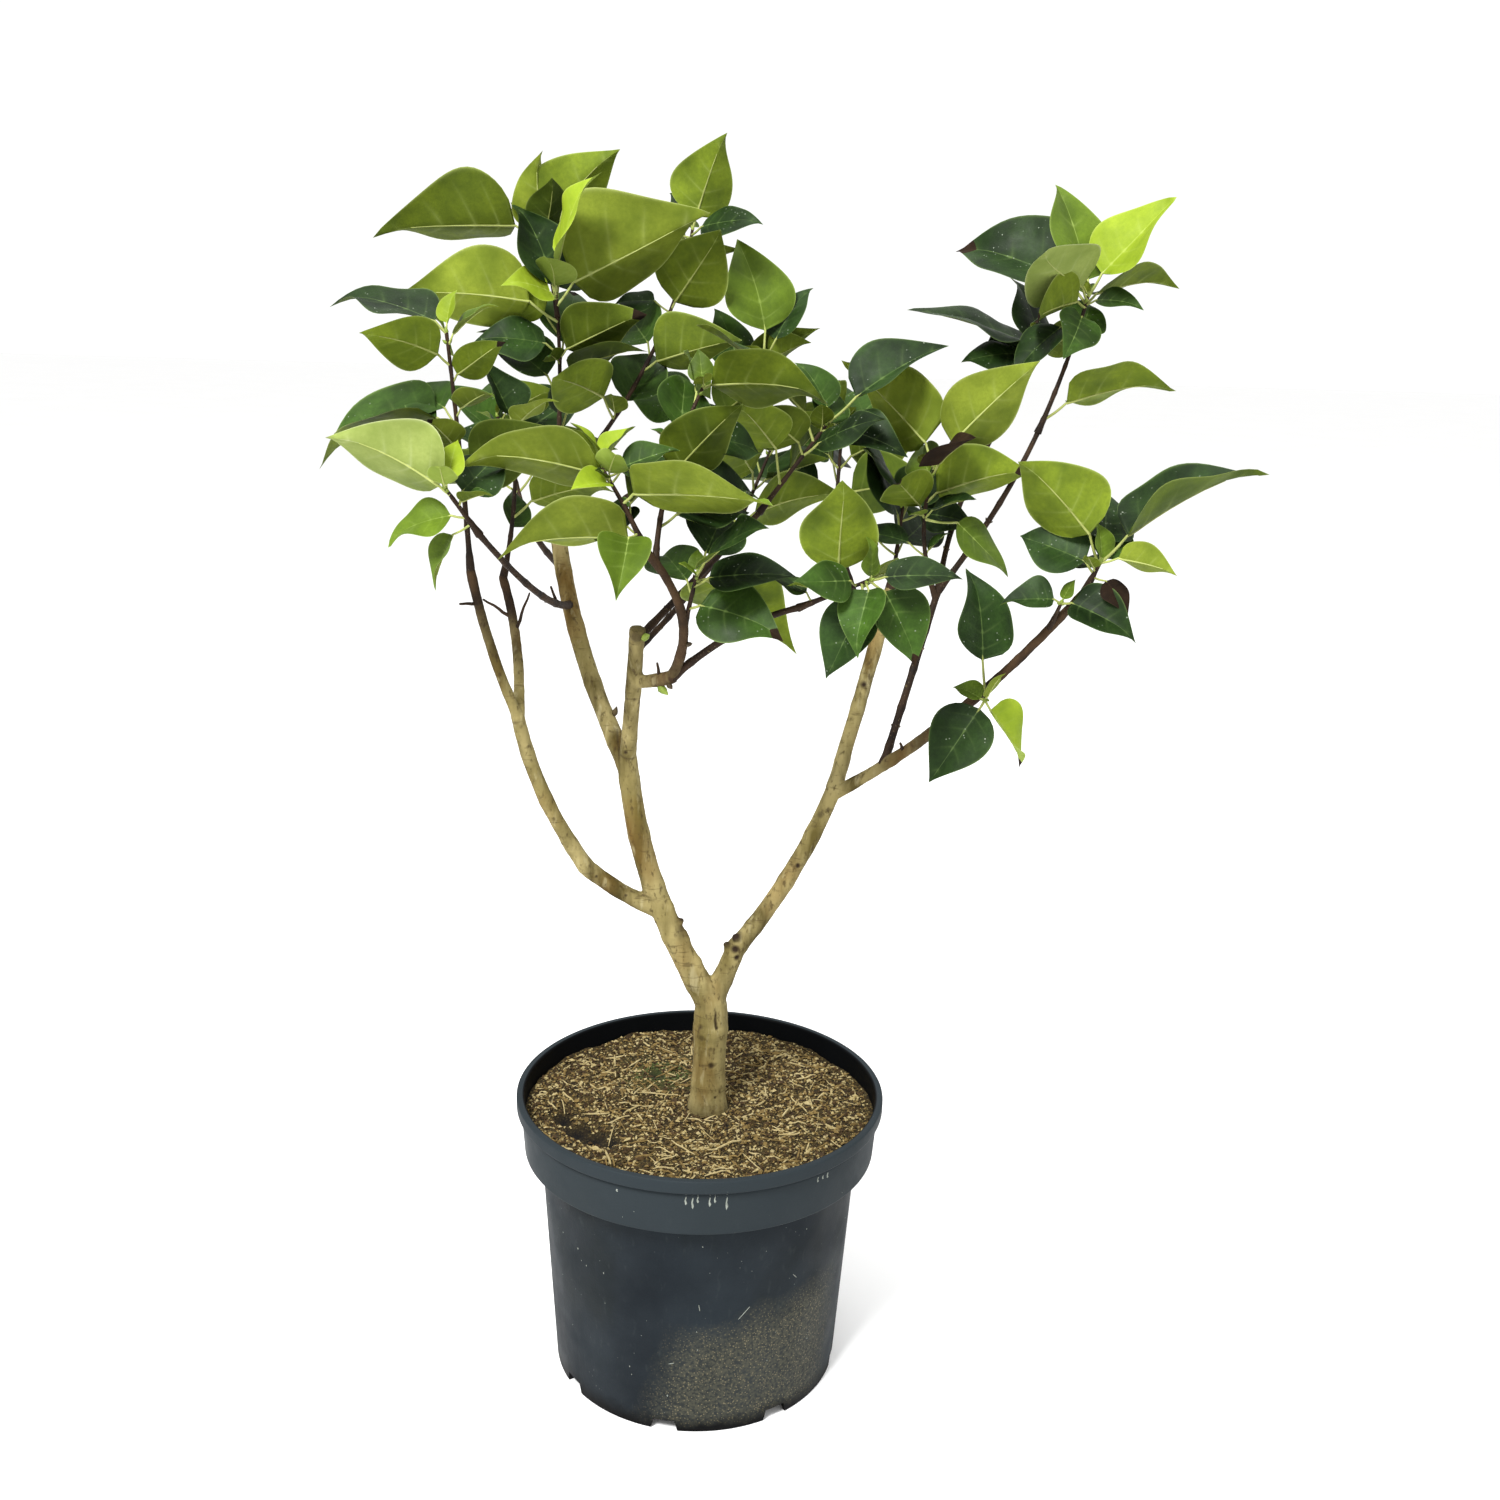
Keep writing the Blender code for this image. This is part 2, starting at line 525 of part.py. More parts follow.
class Placed:
    """One leaf where it grows: its stalk's root, its blade's base and the way it faces."""

    def __init__(self, wood, leaf, turn_by=0.0, rise_by=0.0, shrink=1.0):
        bearing, rise = math.radians(leaf.bearing + turn_by), math.radians(leaf.rise + rise_by)
        out = Vector((math.cos(bearing), math.sin(bearing), 0.0))
        self.along = out * math.cos(rise) + Vector((0, 0, 1)) * math.sin(rise)
        upright = Vector((0, 0, 1)) * math.cos(rise) - out * math.sin(rise)
        sign = -1 if self.along.x > 0 else 1
        self.face = Matrix.Rotation(math.radians(leaf.turn * sign), 3, self.along) @ upright
        at = min(leaf.at, 1.0)
        self.root = wood.point(at)
        way = self.along * STALK_OUTWARD + wood.direction(at) * STALK_ONWARD
        self.base = self.root + way.normalized() * leaf.stalk
        self.length = leaf.length * shrink

    def shape(self, grown=0.0):
        return blade(self.base, self.along, self.face, self.length, grown)

    def stalk(self, end, room=0.0):
        """The stalk as a cone: to the blade's base, or on into the blade."""
        body = bmesh.new()
        add_cone(body, self.root, end, [radius + room for radius in STALK_RADII], STALK_SIDES)
        return body

    def stalk_tree(self, room):
        return tree_and_free(self.stalk(self.base, room))

    def sunk_stalk(self):
        reach = self.length * STALK_SUNK
        return self.stalk(self.base + self.along * reach - self.face * reach * BLADE_DROOP * STALK_SUNK)


def rule_leaves(mass):
    """Opposite pairs, each turned a right angle from the last, smaller towards the tip."""
    chance = random.Random(mass.seed)
    for pair in range(mass.pairs):
        share = (pair + 0.5) / mass.pairs
        at = LOWEST_PAIR + (1 - LOWEST_PAIR) * share ** CROWDING
        bearing = mass.bearing + 90 * pair + chance.uniform(-PAIR_SWING, PAIR_SWING)
        size = mass.length * (FOOT_SIZE - TIP_LOSS * share ** 2)
        for side in (0, 180):
            leaf = Leaf(at, bearing + side + chance.uniform(-LEAF_SWING, LEAF_SWING),
                        mass.rise + TIP_RISE * share + chance.uniform(-RISE_SWING, RISE_SWING),
                        size * chance.uniform(1 - SIZE_SWING, 1 + SIZE_SWING),
                        chance.choice((FACE_AWAY, FACE_NEAR)) + chance.uniform(-TURN_SWING, TURN_SWING),
                        size * chance.uniform(*STALK_SHARES))
            if math.sin(math.radians(leaf.bearing)) > MOST_TO_VIEWER:
                yield leaf


def blocked(name, shape, stalk, guards):
    """Whether a blade touches anything, or its stalk anything but its own mass's wood."""
    for owner, is_wood, tree in guards:
        if shape.overlap(tree):
            return True
        if not (owner == name and is_wood) and stalk.overlap(tree):
            return True
    return False


def grow_leaf(name, stems, leaf, guards):
    """Set one leaf on its stem, turned a little if it would touch something, or leave it out."""
    order = 1 if leaf.at > 1.0 else 0
    leaf = leaf._replace(at=leaf.at - order)
    for size in TRY_SIZES:
        for rise_by in TRY_RISES:
            for turn_by in TRY_BEARINGS:
                spot = Placed(stems[order], leaf, turn_by, rise_by, size)
                shape = BVHTree.FromPolygons(*spot.shape(LEAF_ROOM))
                stalk = spot.stalk_tree(LEAF_ROOM)
                if not blocked(name, shape, stalk, guards):
                    return spot, (name, False, shape), (name, True, stalk)
    return None


def build_pot(collection, material):
    """The pot: a thin turned wall with a beaded rim, a flared collar and drain notches."""
    step_height = POT_HEIGHT - COLLAR_HEIGHT
    collar_top = RIM_RADIUS - BEAD_PROUD
    collar_foot = collar_top - COLLAR_FLARE
    body_top = collar_foot - STEP_WIDTH
    profile = [
        (0.0, FLOOR),
        (FOOT_RADIUS - WALL, FLOOR),
        (body_top - WALL, step_height - WALL),
        (body_top - WALL, step_height + WALL),
        (collar_foot - WALL, step_height + WALL),
        (collar_top - WALL, POT_HEIGHT - LIP_ROUND),
        (collar_top - WALL + LIP_ROUND, POT_HEIGHT),
        (RIM_RADIUS - LIP_ROUND, POT_HEIGHT),
        (RIM_RADIUS, POT_HEIGHT - LIP_ROUND),
        (RIM_RADIUS, POT_HEIGHT - BEAD_HEIGHT),
        (collar_top, POT_HEIGHT - BEAD_HEIGHT - LIP_ROUND),
        (collar_foot, step_height),
        (body_top, step_height),
        (FOOT_RADIUS, 0.0),
        (0.0, 0.0),
    ]
    pot = turned("pot", profile, POT_STEPS, collection, material)
    cutters = bpy.data.collections["cutters"]
    for index in range(DRAIN_COUNT):
        angle = DRAIN_FIRST + 2 * math.pi * index / DRAIN_COUNT
        body = bmesh.new()
        size = Matrix.Diagonal((DRAIN_DEPTH, DRAIN_WIDTH, 2 * DRAIN_HEIGHT, 1.0))
        spot = Matrix.Rotation(angle, 4, "Z") @ Matrix.Translation((FOOT_RADIUS, 0, 0))
        bmesh.ops.create_cube(body, size=1.0, matrix=spot @ size)
        cutter = place(mesh_from(body, "drain"), "drain_cutter_%d" % index, cutters)
        cutter.hide_render = True
        cutter.display_type = "WIRE"
    drain = pot.modifiers.new("drains", "BOOLEAN")
    drain.operand_type = "COLLECTION"
    drain.collection = cutters
    drain.solver = "EXACT"
    return pot


def build_compost(collection, material):
    """The compost that fills the pot, level round the trunk and a little rough elsewhere."""
    step_height = POT_HEIGHT - COLLAR_HEIGHT
    collar_top = RIM_RADIUS - BEAD_PROUD
    collar_foot = collar_top - COLLAR_FLARE
    inset = WALL + GAP
    slope = COLLAR_FLARE / COLLAR_HEIGHT
    edge = collar_foot - inset + slope * (SOIL_LEVEL - step_height)
    body_top = collar_foot - STEP_WIDTH
    foot_taper = (body_top - FOOT_RADIUS) / step_height
    profile = [(edge * ring / SOIL_RINGS, SOIL_LEVEL) for ring in range(SOIL_RINGS + 1)]
    profile += [
        (collar_foot - inset, step_height + inset),
        (body_top - inset - GAP, step_height + inset),
        (body_top - inset - GAP, step_height - inset),
        (FOOT_RADIUS - inset - GAP + foot_taper * FLOOR, FLOOR + GAP),
        (0.0, FLOOR + GAP),
    ]
    compost = turned("compost", profile, POT_STEPS, collection, material)
    mesh = evaluated_mesh(compost)
    compost.modifiers.clear()
    compost.data = mesh
    for vert in mesh.vertices:
        if abs(vert.co.z - SOIL_LEVEL) > GAP:
            continue
        away = (vert.co.xy - TRUNK_FOOT.xy).length
        share = min(1.0, max(0.0, (away - SOIL_CALM_RADIUS) / SOIL_CALM_RADIUS))
        vert.co.z += SOIL_RELIEF * share * noise.noise(vert.co * SOIL_LUMPS)
    return compost


def build_limbs(collection, materials):
    """The trunk and every limb, each cut clear of the earlier ones that it meets."""
    wood = {"trunk": Wood(TRUNK_FOOT, TRUNK_FORK, (0, 0, 0), TRUNK_RADII, LIMB_RINGS, FLARE_PROUD)}
    trunk = wood["trunk"].tube("trunk", TRUNK_SIDES_LEVEL, collection, materials["bark"])
    for vert in trunk.data.vertices:
        if vert.co.z < TRUNK_FOOT.z + FOOT_LEVELLED:
            vert.co.z = TRUNK_FOOT.z
    cutters = {"trunk": wood["trunk"].tube("cutter", TRUNK_SIDES_LEVEL, collection, grown=GAP)}
    for limb in LIMBS:
        parent = wood[limb.parent]
        start = parent.point(limb.at)
        if limb.at == 1.0:
            start -= parent.direction(1.0) * STEM_SUNK
        piece = Wood(start, limb.tip, limb.bow, limb.radii, LIMB_RINGS)
        finish = materials["bark" if limb.radii[0] > YOUNG_WOOD_RADIUS else "young_bark"]
        solid = piece.tube(limb.name, LIMB_SIDES_LEVEL, collection, finish)
        shape = tree_of(solid.data)
        for cutter in cutters.values():
            if shape.overlap(tree_of(cutter.data)):
                combine(solid, cutter, "DIFFERENCE")
        wood[limb.name] = piece
        cutters[limb.name] = piece.tube("cutter", LIMB_SIDES_LEVEL, collection, grown=GAP)
    return wood, cutters


def build_masses(collection, material, limbs, cutters):
    """Every mass: its stem and twigs, the leaves set by hand, then pairs by the rule."""
    fuse = new_collection("to_fuse")
    guards = []
    for name, limb in limbs.items():
        guards.append((name, True, limb.sleeve(GAP + LEAF_ROOM)))
    stems = {}
    for mass in MASSES:
        limb = limbs[mass.limb]
        start = limb.point(mass.at) - limb.direction(mass.at) * (STEM_SUNK if mass.at == 1.0 else 0)
        stem = Wood(start, mass.tip, mass.bow, STEM_RADII, STEM_RINGS)
        stems[mass.name] = [stem]
        for at, tip in mass.twigs:
            stems[mass.name].append(Wood(stem.point(at), tip, (0, 0, 0), TWIG_RADII, 2))
        for piece in stems[mass.name]:
            guards.append((mass.name, True, piece.sleeve(LEAF_ROOM)))
    grown = {mass.name: [] for mass in MASSES}
    for by_rule in (False, True):
        for mass in MASSES:
            for leaf in rule_leaves(mass) if by_rule else mass.leaves:
                found = grow_leaf(mass.name, stems[mass.name], leaf, guards)
                if found:
                    grown[mass.name].append(found[0])
                    guards += found[1:]
    for mass in MASSES:
        first, *others = stems[mass.name]
        solid = first.tube(mass.name, STEM_SIDES_LEVEL, collection, material)
        for twig in others:
            twig.tube("twig", 0, fuse)
        for spot in grown[mass.name]:
            points, faces = spot.shape()
            leaf = bpy.data.meshes.new("blade")
            leaf.from_pydata(points, [], faces)
            place(leaf, "blade", fuse)
            place(mesh_from(spot.sunk_stalk(), "stalk"), "stalk", fuse)
        combine(solid, fuse, "UNION")
        for item in list(fuse.objects):
            remove_object(item)
        combine(solid, cutters[mass.limb], "DIFFERENCE")
    bpy.data.collections.remove(fuse)
    return grown


def main():
    clear_scene()
    collection = new_collection("potted_lilac")
    new_collection("cutters")
    materials = {name: make_material(name) for name in FINISHES}
    build_pot(collection, materials["pot"])
    build_compost(collection, materials["compost"])
    limbs, cutters = build_limbs(collection, materials)
    grown = build_masses(collection, materials["leaf"], limbs, cutters)
    for cutter in cutters.values():
        remove_object(cutter)
    return grown


main()
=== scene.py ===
"""The looks of the potted lilac: bark, twigs, leaves, compost and pot in fine detail.

Metres, +Z up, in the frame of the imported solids. Bearings are in degrees about +Z: 0 right,
90 away, 180 left, 270 to the viewer.
"""

import json
import math
import random
from collections import namedtuple

import bmesh
import bpy
import numpy as np
from mathutils import Matrix, Vector, noise
from mathutils.bvhtree import BVHTree
from mathutils.kdtree import KDTree

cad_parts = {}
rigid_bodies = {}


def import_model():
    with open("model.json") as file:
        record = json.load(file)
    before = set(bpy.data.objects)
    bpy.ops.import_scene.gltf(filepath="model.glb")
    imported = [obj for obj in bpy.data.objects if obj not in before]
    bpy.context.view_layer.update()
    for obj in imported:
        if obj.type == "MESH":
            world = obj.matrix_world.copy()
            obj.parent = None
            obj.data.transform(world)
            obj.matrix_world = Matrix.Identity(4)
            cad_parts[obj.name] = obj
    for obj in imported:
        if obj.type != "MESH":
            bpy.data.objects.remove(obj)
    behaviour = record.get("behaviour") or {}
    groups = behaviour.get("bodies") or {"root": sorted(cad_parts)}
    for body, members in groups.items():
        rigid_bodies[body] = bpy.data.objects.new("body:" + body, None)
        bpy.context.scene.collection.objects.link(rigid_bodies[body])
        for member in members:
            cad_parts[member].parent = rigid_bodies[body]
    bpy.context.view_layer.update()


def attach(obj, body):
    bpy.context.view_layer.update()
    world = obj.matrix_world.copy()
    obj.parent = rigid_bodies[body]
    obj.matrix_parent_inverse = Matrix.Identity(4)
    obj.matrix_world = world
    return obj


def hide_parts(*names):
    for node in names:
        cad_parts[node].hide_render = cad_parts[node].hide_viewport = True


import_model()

# Camera: focal length in pixels of a 1500-pixel frame, place, and tilts in degrees
FRAME_PIXELS = 1500
FOCAL_PIXELS = 1600
SENSOR_WIDTH = 36
CAMERA_PLACE = (0.030996, -1.116906, 0.80241)
CAMERA_PITCH = 15.419
CAMERA_ROLL = 1.582

UP = Vector((0, 0, 1))

# Clearances
GAP = 0.0003
LEAF_ROOM = 0.0007
STEM_SUNK = 0.002

# Pot and compost, as in the solids
RIM_RADIUS = 0.140
POT_HEIGHT = 0.225
BEAD_HEIGHT = 0.010
BEAD_PROUD = 0.0035
COLLAR_HEIGHT = 0.045
COLLAR_FLARE = 0.0025
STEP_WIDTH = 0.0125
FOOT_RADIUS = 0.110
WALL = 0.0022
FLOOR = 0.003
FLOOR_LIFT = 0.010
RING_WALL = 0.0035
COLLAR_TOP = RIM_RADIUS - BEAD_PROUD
COLLAR_FOOT = COLLAR_TOP - COLLAR_FLARE
BODY_TOP = COLLAR_FOOT - STEP_WIDTH
STEP_HEIGHT = POT_HEIGHT - COLLAR_HEIGHT
DRAIN_COUNT = 8
DRAIN_FIRST = 260
DRAIN_WIDTH = 0.020
DRAIN_HEIGHT = 0.009
DRAIN_DEPTH = 0.010
SOIL_LEVEL = 0.209

# The pot's finer forms: how wide a drain's low and high end are, the groove under the bead, the
# rounding of its edges, and its steps round
DRAIN_SLANT = (1.22, 0.82)
POT_GROOVE = 0.0007
POT_ROUNDING = 0.0016
POT_STEPS = 160

# Trunk
TRUNK_FOOT = Vector((0.006, -0.002, SOIL_LEVEL + GAP))
TRUNK_FORK = Vector((0.007, 0.003, 0.295))
TRUNK_RADII = (0.0118, 0.0132)
FLARE_PROUD = 0.0045
FLARE_HEIGHT = 0.012

# Wood: rings along a limb and a stem, and radii of stems and twigs
LIMB_RINGS = 6
STEM_RINGS = 5
STEM_RADII = (0.0019, 0.0011)
TWIG_RADII = (0.0014, 0.0009)

# Leaf: fractions of its length along the midrib, and of its width at each of them
BLADE_SECTIONS = ((0.03, 0.27), (0.28, 0.50), (0.62, 0.37))
BLADE_WIDTH = 0.75
BLADE_THICKNESS = 0.022
BLADE_FOLD = 0.30
BLADE_DROOP = 0.16
STALK_RADII = (0.0009, 0.0007)
STALK_SIDES = 3
SLEEVE_SIDES = 8
STALK_OUTWARD = 0.8
STALK_ONWARD = 0.45
TRY_BEARINGS = (0, 14, -14, 28, -28, 44, -44, 62, -62)
TRY_RISES = (0, 13, -13, 26, -24)
TRY_SIZES = (1.0, 0.85, 0.72)
FACE_AWAY = 52
FACE_NEAR = -35
MOST_TO_VIEWER = -0.4

# Pairs by the rule: where the lowest is on its stem, how they crowd towards the tip, how sizes
# and rises change on the way, and how far chance moves each
LOWEST_PAIR = 0.12
CROWDING = 0.8
FOOT_SIZE = 1.08
TIP_LOSS = 0.40
TIP_RISE = 25
PAIR_SWING = 14
LEAF_SWING = 12
RISE_SWING = 16
TURN_SWING = 14
SIZE_SWING = 0.12
STALK_SHARES = (0.20, 0.34)

# Each limb: its parent, where on the parent it starts, its tip, how far its middle bows out,
# and its radius at the foot and the tip
Limb = namedtuple("Limb", "name parent at tip bow radii")
LIMBS = [Limb(*row) for row in (
    ("left_limb", "trunk", 1.0, (-0.057, -0.010, 0.489), (-0.012, 0, -0.003), (0.0094, 0.0074)),
    ("right_limb_foot", "trunk", 1.0, (0.0255, 0.008, 0.339), (0, 0, 0), (0.0078, 0.0072)),
    ("right_limb", "right_limb_foot", 1.0, (0.095, 0.020, 0.463), (0.005, 0, -0.003),
         (0.0070, 0.0060)),
    ("left_bough_foot", "left_limb", 0.40, (-0.087, -0.016, 0.408), (-0.003, 0.001, -0.002),
         (0.0064, 0.0060)),
    ("left_bough", "left_bough_foot", 1.0, (-0.129, -0.055, 0.530), (-0.007, 0.003, -0.002),
         (0.0058, 0.0048)),
    ("left_outer_stem", "left_bough", 1.0, (-0.154, -0.085, 0.635), (-0.003, 0, 0),
         (0.0037, 0.0030)),
    ("left_inner_stem", "left_bough", 0.97, (-0.149, 0.015, 0.614), (0.004, 0.002, 0.002),
         (0.0040, 0.0031)),
    ("centre_left_stem", "left_limb", 0.96, (-0.117, 0.060, 0.675), (-0.012, 0.003, 0),
         (0.0068, 0.0058)),
    ("centre_right_stem", "left_limb", 0.99, (-0.047, -0.055, 0.591), (0, 0, 0),
         (0.0060, 0.0052)),
    ("crossing_branch", "centre_left_stem", 0.57, (-0.143, -0.115, 0.662), (0.006, 0.004, -0.015),
         (0.0029, 0.0019)),
    ("knuckle_branch", "centre_right_stem", 0.62, (-0.022, -0.060, 0.561), (0, 0, -0.001),
         (0.0042, 0.0047)),
    ("arched_front_branch", "knuckle_branch", 0.93, (-0.039, -0.120, 0.656), (0.016, -0.003, 0),
         (0.0036, 0.0029)),
    ("low_slender_branch", "knuckle_branch", 0.97, (0.061, -0.100, 0.618), (0.002, 0, 0.008),
         (0.0027, 0.0020)),
    ("middle_slender_branch", "centre_right_stem", 0.93, (0.034, 0.000, 0.667), (0, 0, 0),
         (0.0027, 0.0020)),
    ("right_stem", "right_limb", 1.0, (0.132, 0.050, 0.607), (0, 0, 0), (0.0059, 0.0051)),
    ("right_outer_bough", "right_limb", 0.95, (0.248, -0.080, 0.632), (0.004, 0, -0.011),
         (0.0049, 0.0027)),
    ("right_inner_branch", "right_outer_bough", 0.21, (0.167, 0.050, 0.610), (0, 0, 0),
         (0.0030, 0.0025)),
    ("right_back_branch", "right_inner_branch", 1.0, (0.212, 0.090, 0.729), (-0.007, 0.006, 0),
         (0.0022, 0.0017)),
    ("upper_right_branch", "right_inner_branch", 0.97, (0.233, 0.060, 0.723), (0.004, -0.004, 0),
         (0.0023, 0.0018)),
    ("back_left_branch", "centre_left_stem", 0.70, (-0.150, 0.135, 0.640), (0, 0.006, -0.006),
         (0.0028, 0.0020)),
    ("back_centre_branch", "centre_left_stem", 0.80, (-0.045, 0.130, 0.680), (0, 0.004, -0.004),
         (0.0028, 0.0020)),
    ("back_middle_branch", "centre_right_stem", 0.85, (0.010, 0.055, 0.635), (0, 0.004, -0.004),
         (0.0023, 0.0018)),
    ("back_right_branch", "right_stem", 0.72, (0.092, 0.140, 0.640), (0, 0.006, -0.006),
         (0.0028, 0.0020)),
)]

# Each listed leaf: where on its stem, bearing, rise, length, turn of its face towards the
# viewer (negative) or away, length of its stalk, and its look
Leaf = namedtuple("Leaf", "at bearing rise length turn stalk look", defaults=("",))
